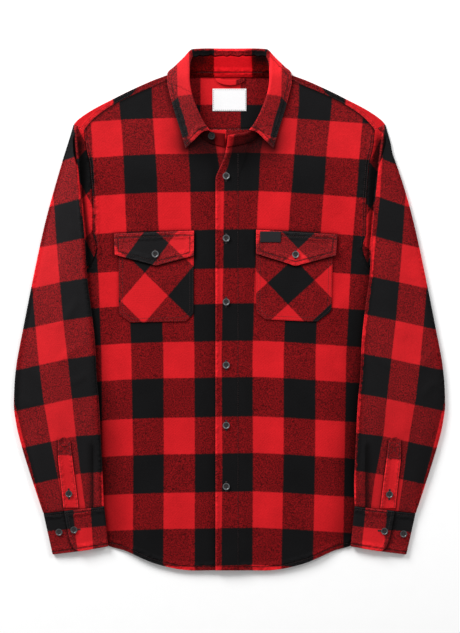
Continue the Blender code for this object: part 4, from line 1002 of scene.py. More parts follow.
def ramp(seam, valley_x, outer_top, height, crown):
    """The top of a section by the shoulder, where the fold is still a soft step."""
    half = RAMP_HALF
    points = [seam] + between(seam, (valley_x + half, seam[1]), 1)
    for i in range(RAMP_STEPS + 1):
        share = i / RAMP_STEPS
        points.append((valley_x + half * (1.0 - 2.0 * share),
                       seam[1] + height * float(ease(0.0, 1.0, share))))
    return points + crowned(points[-1], outer_top, crown)


def crowned(ridge, outer_top, crown):
    """The sleeve's top between its ridge and its outer fold, as x and z."""
    points = []
    for share in TOP_SHARES:
        x = ridge[0] + (outer_top[0] - ridge[0]) * share
        z = ridge[1] + (outer_top[1] - ridge[1]) * share
        points.append((x, z + crown * math.sin(math.pi * share) ** CROWN_POWER))
    return points


def sleeve_section(number, height):
    """Middle line of the cloth in one section, from the armhole seam round."""
    y_at, outer_x = section_line(height)
    inner_x = crossing(SLEEVE_INNER, y_at)
    low = CLOTH / 2
    flat_fold = (CLOTH + GAP) / 2
    outer_fold = flat_fold + (OUTER_FOLD - flat_fold) * float(grown(OUTER_OPENS, height))
    outer_mid = outer_x + CLOTH / 2 + outer_fold
    ridge_fold = float(read(RIDGE_ROUND, height))
    ridge_mid = inner_x - CLOTH / 2 - ridge_fold
    seam = number <= LAST_SEAM_ROW
    lift = float(grown(SEAM_CLIMBS, height))
    seam_x = crossing(ARMHOLE, y_at) - GAP * (1 - lift) + float(grown(SEAM_SHIFT, height))
    seam_z = FRONT_Z + CLOTH / 2 + (GAP + CLOTH) * lift
    valley_x = ridge_mid - CLOTH - float(grown(VALLEY_SHIFT, height))
    valley_z = FRONT_Z + CLOTH / 2
    return_z = valley_z + 2 * VALLEY_FOLD
    free_low, free_high = (0.0, 0.0) if seam else FREE_RIDGE
    raised = return_z + float(grown(RIDGE_LIFT, height))
    under_ridge_z = (raised if seam else ON_FRONT) + free_low
    ridge_top = (ridge_mid, under_ridge_z + 2 * ridge_fold + free_high)
    outer_top = (outer_mid, low + 2 * outer_fold)
    crown = float(read(SLEEVE_CROWN, height))
    points = [(seam_x, seam_z)]
    points += between((seam_x, seam_z), (valley_x, valley_z), 1)
    points += arc(valley_x, valley_z + VALLEY_FOLD, VALLEY_FOLD, 270.0, 90.0, 4)
    if seam:
        start = (valley_x + 0.3 * (ridge_mid - valley_x), return_z)
    else:
        start = (SIDE_X + SIDE_LAP, ON_FRONT)
        points = [ABSENT[:2]] * len(points)
    points += [start]
    points += between(start, (ridge_mid, under_ridge_z), 1)
    rise = (ridge_top[1] - under_ridge_z) / 2
    points += arc(ridge_mid, under_ridge_z + rise, rise, -90.0, 90.0, 4)
    for x, z in crowned(ridge_top, outer_top, crown):
        pleat = float(grown((PLEAT_TOP_Y, PLEAT_TOP_Y - PLEAT_LENGTH, PLEAT_RISE), y_at(x)))
        points.append((x, z + pleat * float(ease(PLEAT_X - PLEAT_STEP, PLEAT_X + PLEAT_STEP, x))))
    if number < len(RIDGE_START):
        step_x = max(valley_x, outer_top[0] + RAMP_CLEAR)
        points = ramp((seam_x, seam_z), step_x, outer_top, RIDGE_START[number], crown)
    points += arc(outer_mid, low + outer_fold, outer_fold, 90.0, 270.0, 5)
    foot = (outer_mid, low)
    if seam:
        end = (crossing(BACK_ARMHOLE, y_at) - GAP, low)
        points += between(foot, end, 5) + [end]
    else:
        climb = (SIDE_X - RAMP, low)
        below = number - LAST_SEAM_ROW
        on_side = (SIDE_X - 2.0, low if below == 1 else ON_FRONT + 0.1)
        end = (SIDE_X - 1.4 if below <= 2 else SIDE_X + SIDE_LAP - GAP, on_side[1])
        points += between(foot, climb, 2) + [climb] + between(climb, on_side, 1)
        points += [on_side, end]
    on_top = [1.0 if RIDGE_COLUMN < i < OUTER_COLUMN else 0.0 for i in range(len(points))]
    return [(x, y_at(x), z, top) for (x, z), top in zip(points, on_top)]


def cuff_grid():
    """A band round the wrist whose upper end laps over the other, rounded at the foot."""
    grid = []
    low = CUFF_CLOTH / 2
    on_body = FRONT_TOP + GAP + low
    under = on_body + CUFF_CLOTH + CUFF_LAYER_GAPS[0]
    over = under + CUFF_CLOTH + CUFF_LAYER_GAPS[1]
    for share, upper_end in CUFF_ROWS:
        outer, inner = [np.array(a) * (1 - share) + np.array(b) * share
                        for a, b in zip(CUFF_TOP, CUFF_FOOT)]
        width = inner[0] - outer[0]
        first = outer[0] + low + CUFF_FOLD
        last = inner[0] - low - CUFF_INNER_FOLD
        top = low + 2 * CUFF_FOLD
        end_top = on_body + 2 * CUFF_INNER_FOLD

        def at(part):
            return outer[0] + width * part
        points = [(at(part), under) for part in CUFF_HIDDEN]
        points += [(at(CUFF_TURN), (under + top) / 2)]
        points += arc(first, low + CUFF_FOLD, CUFF_FOLD, 90.0, 270.0, 5)
        points += [(at(CUFF_FLOOR), low), (SIDE_X - RAMP, low), (SIDE_X - 2.0, on_body)]
        points += [(at(part), on_body) for part in CUFF_ON_BODY]
        points += arc(last, on_body + CUFF_INNER_FOLD, CUFF_INNER_FOLD, -90.0, 90.0, 5)
        points += [(at(CUFF_TOP_START), end_top + CUFF_RISE[0]),
                   (at(CUFF_TOP_RISE), over - CUFF_RISE[1])]
        points += [(at(part), over) for part in CUFF_TOP_LEVEL + (upper_end,)]
        row = []
        for x, z in points:
            part = (x - outer[0]) / width
            bow = share * CUFF_SAG * math.sin(math.pi * part)
            row.append((x, outer[1] + (inner[1] - outer[1]) * part - bow, z))
        grid.append(row)
    return np.array(grid)


# ------------------------------------------------------------------ collar

def stand_station(row, sign, height_at):
    """A line across the stand, from its seam up to its top."""
    seam_x, seam_y, top_x, top_y, top_z = row
    ground = max(height_at(-sign * (seam_x + dx), seam_y + dy)
                 for dx in (-1.5, 0.0, 1.5) for dy in (-1.5, 0.0, 1.5))
    reach = math.hypot(top_x - seam_x, top_y - seam_y)
    flatness = reach / math.hypot(reach, top_z - ground)
    seam = np.array((seam_x, seam_y, ground + GAP + STAND_CLOTH / 2 * flatness))
    top = np.array((top_x, top_y, top_z))
    return [seam + (top - seam) * share for share in (0.0, 0.33, 0.67, 1.0)]


def stand_grid(height_at):
    """The band that stands up round the neck, its left end over its right one."""
    right = [stand_station(row, -1.0, height_at) for row in STAND]
    left = [stand_station(row, 1.0, height_at) for row in (STAND_LEFT_END,) + STAND[1:]]
    return np.array(right + [flipped(row, 1.0) for row in reversed(left)])


def gathered(x, y):
    """How far the collar's back is drawn up and down along the seam below its roll."""
    waves = np.sin(x / 2.6) + 0.7 * np.sin(x / 1.5 + 1.0) + 0.5 * np.sin(x / 4.7 + 2.0)
    return GATHER * waves * ease(376.0, 388.0, y)


def nearest(point, line):
    """The point of a polyline that lies nearest to another point."""
    best = None
    for a, b in zip(line[:-1], line[1:]):
        share = min(max(np.dot(point - a, b - a) / np.dot(b - a, b - a), 0.0), 1.0)
        spot = a + (b - a) * share
        if best is None or np.linalg.norm(spot - point) < np.linalg.norm(best - point):
            best = spot
    return best


def fall_grid():
    """From the stand's top over the roll, then out to the points and down behind the neck."""
    tops = [np.array(row[2:]) for row in STAND] + [np.array((0.0,) + STAND[-1][3:])]
    right = []
    for station in FALL:
        roll = np.array(station[0])
        seam = nearest(roll, tops)
        seam = seam + unit(roll - seam) * FALL_SEAM
        path = spline((seam,) + station, FALL_STEPS)
        path[:, 2] = np.maximum(path[:, 2], FALL_CLOTH / 2)
        right.append(path)
    return np.array(right + [flipped(row, 1.0) for row in reversed(right)])


def collar_threads(x, y, beyond, near_edge, far_edge):
    """Threads of the fall on the wearer's right, and beyond its roll in mm."""
    warp, weft = periods()
    far, side = away_from(x, y, LEAF_WARP)
    on_leaf = thread_place(1, warp) - far * side
    at_back = thread_place(2, warp) + beyond + 0.8
    back = ease(-66.0, -54.0, x) * ease(350.0, 375.0, y)
    u = on_leaf * (1 - back) + at_back * back
    high = np.interp(x, *np.array(LEAF_ROW_HIGH).T)
    low = np.interp(x, *np.array(LEAF_ROW_LOW).T)
    rows = np.stack((-np.full(np.shape(x), LEAF_CORNER_Y), -high, -low), -1)
    leaf_v = stretch(-y, rows, 0, weft)
    back_v = stretch(-x, (-far_edge, near_edge, -LEAF_CORNER_X), -2, weft)
    return u, leaf_v * (1 - back) + back_v * back


def bias_threads(x, y, corner, warp_corner, weft_corner, first):
    """Threads of a piece cut on the bias, from three corners of one block."""
    warp, weft = periods()
    origin = np.array(corner)
    ways = np.column_stack((np.array(warp_corner) - origin, np.array(weft_corner) - origin))
    shares = np.linalg.solve(ways, np.stack(((x - corner[0]).ravel(), (y - corner[1]).ravel())))
    u0, u1 = thread_place(first, warp), thread_place(first + 1, warp)
    v0, v1 = thread_place(first, weft), thread_place(first + 1, weft)
    return (u0 + shares[0].reshape(np.shape(x)) * (u1 - u0),
            v0 + shares[1].reshape(np.shape(x)) * (v1 - v0))


# ------------------------------------------------------------------ materials

def add(tree, kind, settings=None, values=None):
    """Adds a node, with its settings, and its inputs as values or links."""
    node = tree.nodes.new(kind)
    for key, value in (settings or {}).items():
        setattr(node, key, value)
    for key, value in (values or {}).items():
        if isinstance(value, bpy.types.NodeSocket):
            tree.links.new(value, node.inputs[key])
        else:
            node.inputs[key].default_value = value
    return node


def new_material(name, constants):
    """A material with its shader's own constants, its node tree and its shader."""
    made = bpy.data.materials.get(name)
    if made is not None:
        bpy.data.materials.remove(made)
    made = bpy.data.materials.new(name)
    made.use_nodes = True
    shader = made.node_tree.nodes["Principled BSDF"]
    for key, value in constants.items():
        shader.inputs[key].default_value = value
    return made, made.node_tree, shader


def brushed_flannel():
    """Cotton twill, yarn-dyed and brushed: matt, with a short nap that blurs the check's edges."""
    sizes = bpy.context.scene.shirt_sizes
    colours = bpy.context.scene.shirt_colours
    made, tree, shader = new_material("brushed cotton flannel", {
        "Roughness": 0.95, "Specular IOR Level": 0.05, "Sheen Weight": 0.03,
        "Sheen Roughness": 0.4, "Sheen Tint": (1.0, 0.62, 0.6, 1.0)})
    place = add(tree, "ShaderNodeTexCoord").outputs["Object"]
    threads = add(tree, "ShaderNodeUVMap", {"uv_map": "Cloth"}).outputs["UV"]
    # Marks: paleness for wear and painted light, painted shade, and the distance from the edges
    worn, deep, rim = (add(tree, "ShaderNodeAttribute", {"attribute_name": mark}).outputs["Fac"]
                       for mark in ("worn", "deep", "rim"))
    # Sewn lines: the cloth is pressed into a furrow of about 2 mm, and along the first set it puckers for 9 mm.
    # The furrow is also painted darker as painted shade, and the puckers lighter and darker as their painted
    # light and shade
    near = []
    for mark in ("sewn_a", "sewn_b"):
        line = add(tree, "ShaderNodeAttribute", {"attribute_name": mark})
        near.append(add(tree, "ShaderNodeMath", {"operation": "ABSOLUTE"}, {
            0: line.outputs["Fac"]}).outputs[0])
    nearest_line = add(tree, "ShaderNodeMath", {"operation": "MINIMUM"}, {0: near[0], 1: near[1]})
    furrow = add(tree, "ShaderNodeMapRange", {"interpolation_type": "SMOOTHSTEP"}, {
        "Value": nearest_line.outputs[0], "From Min": 0.2, "From Max": 1.7,
        "To Min": 1.0, "To Max": 0.0}).outputs["Result"]
    edge = add(tree, "ShaderNodeMapRange", {"interpolation_type": "SMOOTHSTEP"}, {
        "Value": rim, "From Min": 0.4, "From Max": 2.6,
        "To Min": 1.0, "To Max": 0.0}).outputs["Result"]
    by_seam = add(tree, "ShaderNodeMath", {"operation": "MINIMUM"}, {0: near[0], 1: rim})
    by_seam = add(tree, "ShaderNodeMapRange", {"interpolation_type": "SMOOTHSTEP"}, {
        "Value": by_seam.outputs[0], "From Min": 2.0, "From Max": 9.0,
        "To Min": 1.0, "To Max": 0.0}).outputs["Result"]
    pucker = add(tree, "ShaderNodeTexNoise", values={
        "Vector": place, "Scale": 1 / 0.0062, "Detail": 1.0, "Roughness": 0.5})
    drawn = add(tree, "ShaderNodeMath", {"operation": "MULTIPLY"}, {
        0: pucker.outputs["Fac"], 1: by_seam})
    # Yarns of 0.9 mm step in and out along a colour edge, and puckers shift it
    frayed = add(tree, "ShaderNodeTexNoise", values={
        "Vector": place, "Scale": 1 / 0.0024, "Detail": 2.0, "Roughness": 0.6})
    shift = add(tree, "ShaderNodeVectorMath", {"operation": "MULTIPLY_ADD"}, {
        0: frayed.outputs["Color"], 1: (0.0024,) * 3, 2: (-0.0012,) * 3})
    pulled = add(tree, "ShaderNodeVectorMath", {"operation": "MULTIPLY_ADD"}, {
        0: pucker.outputs["Color"], 1: (0.0046,) * 3, 2: (-0.0023,) * 3})
    pulled = add(tree, "ShaderNodeVectorMath", {"operation": "SCALE"}, {
        0: pulled.outputs["Vector"], "Scale": by_seam})
    shift = add(tree, "ShaderNodeVectorMath", {"operation": "ADD"}, {
        0: shift.outputs["Vector"], 1: pulled.outputs["Vector"]})
    moved = add(tree, "ShaderNodeVectorMath", {"operation": "ADD"}, {
        0: threads, 1: shift.outputs["Vector"]})
    split = add(tree, "ShaderNodeSeparateXYZ", values={"Vector": moved.outputs["Vector"]})
    half = sizes.red_share / 2
    masks = []
    for axis, period in (("X", sizes.check_warp), ("Y", sizes.check_weft)):
        turns = add(tree, "ShaderNodeMath", {"operation": "MULTIPLY_ADD"}, {
            0: split.outputs[axis], 1: 1 / period, 2: -half})
        away = add(tree, "ShaderNodeMath", {"operation": "PINGPONG"}, {
            0: turns.outputs[0], 1: 0.5})
        soft = 0.0011 / period
        masks.append(add(tree, "ShaderNodeMapRange", {"interpolation_type": "SMOOTHSTEP"}, {
            "Value": away.outputs[0], "From Min": half - soft, "From Max": half + soft,
            "To Min": 1.0, "To Max": 0.0}).outputs["Result"])
    # Heather of the mixed blocks: red weft floats over black warp and the other way round
    heather = add(tree, "ShaderNodeTexNoise", values={
        "Vector": place, "Scale": 1 / 0.0017, "Detail": 2.0, "Roughness": 0.6})
    red_part = add(tree, "ShaderNodeMapRange", values={
        "Value": heather.outputs["Fac"], "From Min": 0.33, "From Max": 0.67,
        "To Min": 0.06, "To Max": 0.46})
    # Cloth marked pale, for wear and for painted light, gets more red in its mixed blocks
    more_red = add(tree, "ShaderNodeMath", {"operation": "MULTIPLY_ADD"}, {
        0: worn, 1: 0.5, 2: 1.0})
    red_part = add(tree, "ShaderNodeMath", {"operation": "MULTIPLY"}, {
        0: red_part.outputs["Result"], 1: more_red.outputs[0]})
    both = add(tree, "ShaderNodeMath", {"operation": "MULTIPLY"}, {0: masks[0], 1: masks[1]})
    either = add(tree, "ShaderNodeMath", {"operation": "ADD"}, {0: masks[0], 1: masks[1]})
    one = add(tree, "ShaderNodeMath", {"operation": "MULTIPLY_ADD"}, {
        0: both.outputs[0], 1: -2.0, 2: either.outputs[0]})
    share = add(tree, "ShaderNodeMath", {"operation": "MULTIPLY_ADD"}, {
        0: one.outputs[0], 1: red_part.outputs[0], 2: both.outputs[0]})
    dark = add(tree, "ShaderNodeMix", {"data_type": "RGBA"}, {
        0: one.outputs[0], 6: (*colours.black, 1.0), 7: (*colours.mixed_dark, 1.0)})
    dyed = add(tree, "ShaderNodeMix", {"data_type": "RGBA"}, {
        0: share.outputs[0], 6: dark.outputs[2], 7: (*colours.red, 1.0)})
    # The nap lies this way and that, in tufts of about 1 mm and in patches of a few cm
    tufts = add(tree, "ShaderNodeTexNoise", values={
        "Vector": place, "Scale": 1 / 0.0019, "Detail": 3.0, "Roughness": 0.7})
    patches = add(tree, "ShaderNodeTexNoise", values={
        "Vector": place, "Scale": 1 / 0.035, "Detail": 2.0, "Roughness": 0.5})
    tone = add(tree, "ShaderNodeMath", {"operation": "MULTIPLY_ADD"}, {
        0: tufts.outputs["Fac"], 1: 0.62, 2: 0.50})
    # Painted light and shade: puckers lighter and darker, the cloth beside seams and rims darker, the edges
    # lighter (partly rubbed fibre, partly a painted highlight), the furrows darker
    for part, weight in ((patches.outputs["Fac"], 0.36), (drawn.outputs[0], 0.9), (by_seam, -0.45),
                         (edge, 0.30), (furrow, -0.42)):
        tone = add(tree, "ShaderNodeMath", {"operation": "MULTIPLY_ADD"}, {
            0: part, 1: weight, 2: tone.outputs[0]})
    # Painted shade: the colour is painted darker where the cloth lies between other pieces, and lighter where
    # the mark is below zero, as painted light
    reached = add(tree, "ShaderNodeMath", {"operation": "MULTIPLY_ADD"}, {
        0: deep, 1: -0.94, 2: 1.0})
    tone = add(tree, "ShaderNodeMath", {"operation": "MULTIPLY"}, {
        0: tone.outputs[0], 1: reached.outputs[0]})
    napped = add(tree, "ShaderNodeVectorMath", {"operation": "SCALE"}, {
        0: dyed.outputs[2], "Scale": tone.outputs[0]})
    # Pale fibre ends, painted where the cloth is marked pale and at the edges: partly wear, partly painted light
    pale = add(tree, "ShaderNodeMath", {"operation": "MULTIPLY_ADD"}, {
        0: edge, 1: 0.5, 2: worn})
    fibres = add(tree, "ShaderNodeVectorMath", {"operation": "MULTIPLY_ADD"}, {
        0: pale.outputs[0], 1: (0.0086, 0.0080, 0.0084), 2: napped.outputs["Vector"]})
    tree.links.new(fibres.outputs["Vector"], shader.inputs["Base Color"])
    # Twill lines of 1.1 mm run up to the right
    twill = add(tree, "ShaderNodeTexWave", {"bands_direction": "DIAGONAL"}, {
        "Vector": threads, "Scale": 1 / 0.0011 / 20 * math.pi, "Distortion": 1.5, "Detail": 1.0})
    relief = tufts
    for part, weight in ((drawn.outputs[0], 8.0), (twill.outputs["Fac"], 0.12), (furrow, -1.6)):
        relief = add(tree, "ShaderNodeMath", {"operation": "MULTIPLY_ADD"}, {
            0: part, 1: weight, 2: relief.outputs[0]})
    bump = add(tree, "ShaderNodeBump", values={
        "Strength": 1.0, "Distance": 0.00035, "Height": relief.outputs[0]})
    tree.links.new(bump.outputs["Normal"], shader.inputs["Normal"])
    return made


def woven_tape(name, colour, gloss, rib_mm):
    """Narrow woven tape: fine cross ribs, with the soft shine of filament yarn."""
    made, tree, shader = new_material(name, {
        "Roughness": gloss, "Specular IOR Level": 0.3})
    place = add(tree, "ShaderNodeTexCoord").outputs["Object"]
    ribs = add(tree, "ShaderNodeTexWave", {"bands_direction": "Y"}, {
        "Vector": place, "Scale": math.pi / 10 / (rib_mm * MM), "Distortion": 0.6, "Detail": 1.0})
    flecks = add(tree, "ShaderNodeTexNoise", values={
        "Vector": place, "Scale": 1 / 0.0012, "Detail": 2.0})
    tone = add(tree, "ShaderNodeMath", {"operation": "MULTIPLY_ADD"}, {
        0: flecks.outputs["Fac"], 1: 0.16, 2: 0.9})
    shade = add(tree, "ShaderNodeVectorMath", {"operation": "SCALE"}, {
        0: tuple(colour), "Scale": tone.outputs[0]})
    tree.links.new(shade.outputs["Vector"], shader.inputs["Base Color"])
    bump = add(tree, "ShaderNodeBump", values={
        "Strength": 0.6, "Distance": 0.0001, "Height": ribs.outputs["Fac"]})
    tree.links.new(bump.outputs["Normal"], shader.inputs["Normal"])
    return made


def moulded_polyester():
    """Turned polyester button blank: satin gloss, with faint clouding from the casting."""
    colours = bpy.context.scene.shirt_colours
    made, tree, shader = new_material("moulded polyester", {
        "Roughness": 0.3, "IOR": 1.55, "Specular IOR Level": 0.5})
    place = add(tree, "ShaderNodeTexCoord").outputs["Object"]
    cloud = add(tree, "ShaderNodeTexNoise", values={
        "Vector": place, "Scale": 1 / 0.004, "Detail": 3.0, "Distortion": 0.8})
    # The pale rim: partly a paler rim, partly a painted highlight of its reflection
    rim = add(tree, "ShaderNodeAttribute", {"attribute_name": "rim"})
    body = add(tree, "ShaderNodeMix", {"data_type": "RGBA"}, {
        0: rim.outputs["Fac"], 6: (*colours.button, 1.0), 7: (*colours.button_rim, 1.0)})
    tone = add(tree, "ShaderNodeMath", {"operation": "MULTIPLY_ADD"}, {
        0: cloud.outputs["Fac"], 1: 0.8, 2: 0.6})
    # Painted shade: a button that lies in shade is painted darker, and made rougher
    deep = add(tree, "ShaderNodeAttribute", {"attribute_name": "deep"})
    tone = add(tree, "ShaderNodeMath", {"operation": "SUBTRACT"}, {
        0: tone.outputs[0], 1: deep.outputs["Fac"]})
    shade = add(tree, "ShaderNodeVectorMath", {"operation": "SCALE"}, {
        0: body.outputs[2], "Scale": tone.outputs[0]})
    tree.links.new(shade.outputs["Vector"], shader.inputs["Base Color"])
    rough = add(tree, "ShaderNodeMapRange", values={
        "Value": cloud.outputs["Fac"], "To Min": 0.24, "To Max": 0.4})
    rough = add(tree, "ShaderNodeMath", {"operation": "MULTIPLY_ADD"}, {
        0: deep.outputs["Fac"], 1: 0.6, 2: rough.outputs["Result"]})
    tree.links.new(rough.outputs[0], shader.inputs["Roughness"])
    return made


def spun_thread():
    """Core-spun polyester sewing thread: slightly shiny, with its twist as fine relief."""
    colours = bpy.context.scene.shirt_colours
    made, tree, shader = new_material("core-spun sewing thread", {
        "Roughness": 0.62, "Specular IOR Level": 0.35, "Sheen Weight": 0.1})
    place = add(tree, "ShaderNodeTexCoord").outputs["Object"]
    twist = add(tree, "ShaderNodeTexNoise", values={
        "Vector": place, "Scale": 1 / 0.0008, "Detail": 2.0})
    tone = add(tree, "ShaderNodeMath", {"operation": "MULTIPLY_ADD"}, {
        0: twist.outputs["Fac"], 1: 0.7, 2: 0.65})
    shade = add(tree, "ShaderNodeVectorMath", {"operation": "SCALE"}, {
        0: tuple(colours.red_thread), "Scale": tone.outputs[0]})
    tree.links.new(shade.outputs["Vector"], shader.inputs["Base Color"])
    return made


def matt_board():
    """Matt white board, with the faint mottling of its pulp."""
    colours = bpy.context.scene.shirt_colours
    made, tree, shader = new_material("matt white board", {
        "Roughness": 0.9, "Specular IOR Level": 0.1})
    place = add(tree, "ShaderNodeTexCoord").outputs["Object"]
    pulp = add(tree, "ShaderNodeTexNoise", values={"Vector": place, "Scale": 40.0, "Detail": 2.0})
    tone = add(tree, "ShaderNodeMath", {"operation": "MULTIPLY_ADD"}, {
        0: pulp.outputs["Fac"], 1: 0.02, 2: 0.99})
    shade = add(tree, "ShaderNodeVectorMath", {"operation": "SCALE"}, {
        0: tuple(colours.floor), "Scale": tone.outputs[0]})
    tree.links.new(shade.outputs["Vector"], shader.inputs["Base Color"])
    return made


def finish_of(slot_name):
    """The finished material of a slot, made when it is first asked for."""
    colours = bpy.context.scene.shirt_colours
    names = {"flannel": "brushed cotton flannel", "label_satin": "woven satin label",
             "tag_cloth": "woven tape tag", "button": "moulded polyester",
             "thread": "core-spun sewing thread"}
    made = bpy.data.materials.get(names[slot_name])
    if made is not None:
        return made
    if slot_name == "flannel":
        return brushed_flannel()
    if slot_name == "label_satin":
        return woven_tape("woven satin label", colours.label, 0.45, 0.8)
    if slot_name == "tag_cloth":
        return woven_tape("woven tape tag", colours.tag, 0.9, 1.0)
    if slot_name == "button":
        return moulded_polyester()
    return spun_thread()


# ------------------------------------------------------------------ finished pieces

def hand_over(piece, slot_name, *nodes):
    """Gives a piece its material and its body, and hides the CAD nodes that it stands for."""
    piece.data.materials.clear()
    piece.data.materials.append(finish_of(slot_name))
    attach(piece, "root")
    if nodes:
        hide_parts(*nodes)
    "flannel" if slot_name == "thread" else slot_name
    return piece


def signed(x, y, lines):
    """Distance into a piece from the nearest of some lines that have the piece on their left."""
    best = np.full(np.shape(x), 40.0)
    for line in lines:
        far, side = away_from(x, y, line)
        best = np.minimum(best, far * np.where(side == 0.0, 1.0, side))
    return np.clip(best, -40.0, 40.0)


def cloth(node, grid, thick, threads, worn=0.0, deep=0.0, slot_name="flannel"):
    """A finished piece of cloth that stands for a CAD node.

    Its marks are what the finish reads: how far a point is from two sets of sewn lines and from the piece's
    edges, how pale the cloth is painted for wear and for painted light, and how much painted shade it carries.
    """
    x, y = np.nan_to_num(grid[..., 0]), np.nan_to_num(grid[..., 1])
    drawn, crossing_line, rims = SEWN.get(node, ([], [], []))[:3]
    rim = np.full(x.shape, 40.0)
    for line in rims:
        rim = np.minimum(rim, away_from(x, y, line)[0])
    marks = {"sewn_a": signed(x, y, drawn), "sewn_b": signed(x, y, crossing_line),
             "rim": rim, "worn": np.broadcast_to(worn, x.shape),
             "deep": np.broadcast_to(deep, x.shape)}
    piece = shell("cloth_" + node, grid, thick, threads, marks)
    hand_over(piece, slot_name, node)
    width, length, area = FLAT[node]
    return piece


def found(*names):
    """Pieces made before, by node."""
    return [bpy.data.objects["cloth_" + name] for name in names]


def net_mm():
    """Distance between the points of a panel."""
    return bpy.context.scene.shirt_sizes.net / MM


def stack(u, v):
    """Two thread places as one UV array."""
    return np.stack((np.nan_to_num(u), np.nan_to_num(v)), -1)


def select_level(piece, top):
    """Selects the highest or lowest level face of a piece in edit mode, and nothing else."""
    net = bmesh.from_edit_mesh(piece.data)
    way = 1.0 if top else -1.0
    best = max((face.calc_center_median().z * way for face in net.faces
                if face.normal.z * way > 0.99))
    for face in net.faces:
        face.select = (face.normal.z * way > 0.99
                       and face.calc_center_median().z * way > best - 1e-6)
    net.select_flush_mode()
    bmesh.update_edit_mesh(piece.data)


def rest_plane(x, y, height_at, radius):
    """Slope and height, in mm, at which a button rests on the cloth below it."""
    spots = [(x, y)] + [(x + radius * share * math.cos(a), y + radius * share * math.sin(a))
                        for share in (0.6, 1.0) for a in np.arange(8) * math.pi / 4]
    below = np.array([(px - x, py - y, height_at(px, py)) for px, py in spots])
    flat = np.column_stack((below[:, :2], np.ones(len(below))))
    tilt_x, tilt_y, level = np.linalg.lstsq(flat, below[:, 2], rcond=None)[0]
    proud = max(below[:, 2] - flat @ np.array((tilt_x, tilt_y, level)))
    return tilt_x, tilt_y, level + proud + 0.15


def seated(points, x, y, tilt_x, tilt_y, base):
    """Points of a button in metres, moved to its place and slope in millimetres."""
    out = points.copy()
    out[:, 2] += base * MM + tilt_x * points[:, 0] + tilt_y * points[:, 1]
    out[:, 0] += x * MM
    out[:, 1] += y * MM
    return out


def capsule(long, wide):
    """Corner points of one stitch along X: a pointed end, two hexagons and a pointed end."""
    half, inner, radius = long / 2, long / 2 - 0.35 * wide, wide / 2
    points = [(-half, 0.0, 0.0)]
    for x in (-inner, inner):
        points += [(x, radius * math.cos(a), radius * math.sin(a))
                   for a in np.arange(6) * math.pi / 3]
    return np.array(points + [(half, 0.0, 0.0)])


def capsules(name, made):
    """One joined object from the corner points of many stitches."""
    faces = []
    for i in range(6):
        j = (i + 1) % 6
        faces += [(0, 1 + j, 1 + i, 1 + i), (13, 7 + i, 7 + j, 7 + j), (1 + i, 1 + j, 7 + j, 7 + i)]
    points = np.concatenate(made)
    rings = [tuple(dict.fromkeys(v + 14 * number for v in face))
             for number in range(len(made)) for face in faces]
    mesh = bpy.data.meshes.new(name)
    mesh.from_pydata((points * MM).tolist(), [], rings)
    mesh.shade_smooth()
    piece = bpy.data.objects.new(name, mesh)
    bpy.context.collection.objects.link(piece)
    return piece


def stitches_along(line, pitch, long):
    """Ends of the stitches along a plan line."""
    pts = np.array(line, dtype=float)
    run = np.concatenate(([0.0], np.cumsum(np.hypot(*np.diff(pts, axis=0).T))))
    starts = np.arange(pitch / 2, run[-1] - long, pitch)
    place = [np.stack((np.interp(starts + d, run, pts[:, 0]),
                       np.interp(starts + d, run, pts[:, 1])), -1) for d in (0.0, long)]
    return list(zip(place[0].tolist(), place[1].tolist()))


def moved_in(line, by, closed=False):
    """A plan line moved to its left by a distance."""
    pts = np.array(line, dtype=float)
    if closed:
        pts = np.concatenate((pts[-2:-1], pts, pts[1:2]))
    ways = unit(np.diff(pts, axis=0))
    sides = np.stack((-ways[:, 1], ways[:, 0]), -1)
    before = np.concatenate((sides[:1], sides))
    after = np.concatenate((sides, sides[-1:]))
    middle = unit(before + after)
    miter = by / np.maximum(np.sum(middle * after, axis=-1, keepdims=True), 0.5)
    out = pts + middle * miter
    return out[1:-1] if closed else out


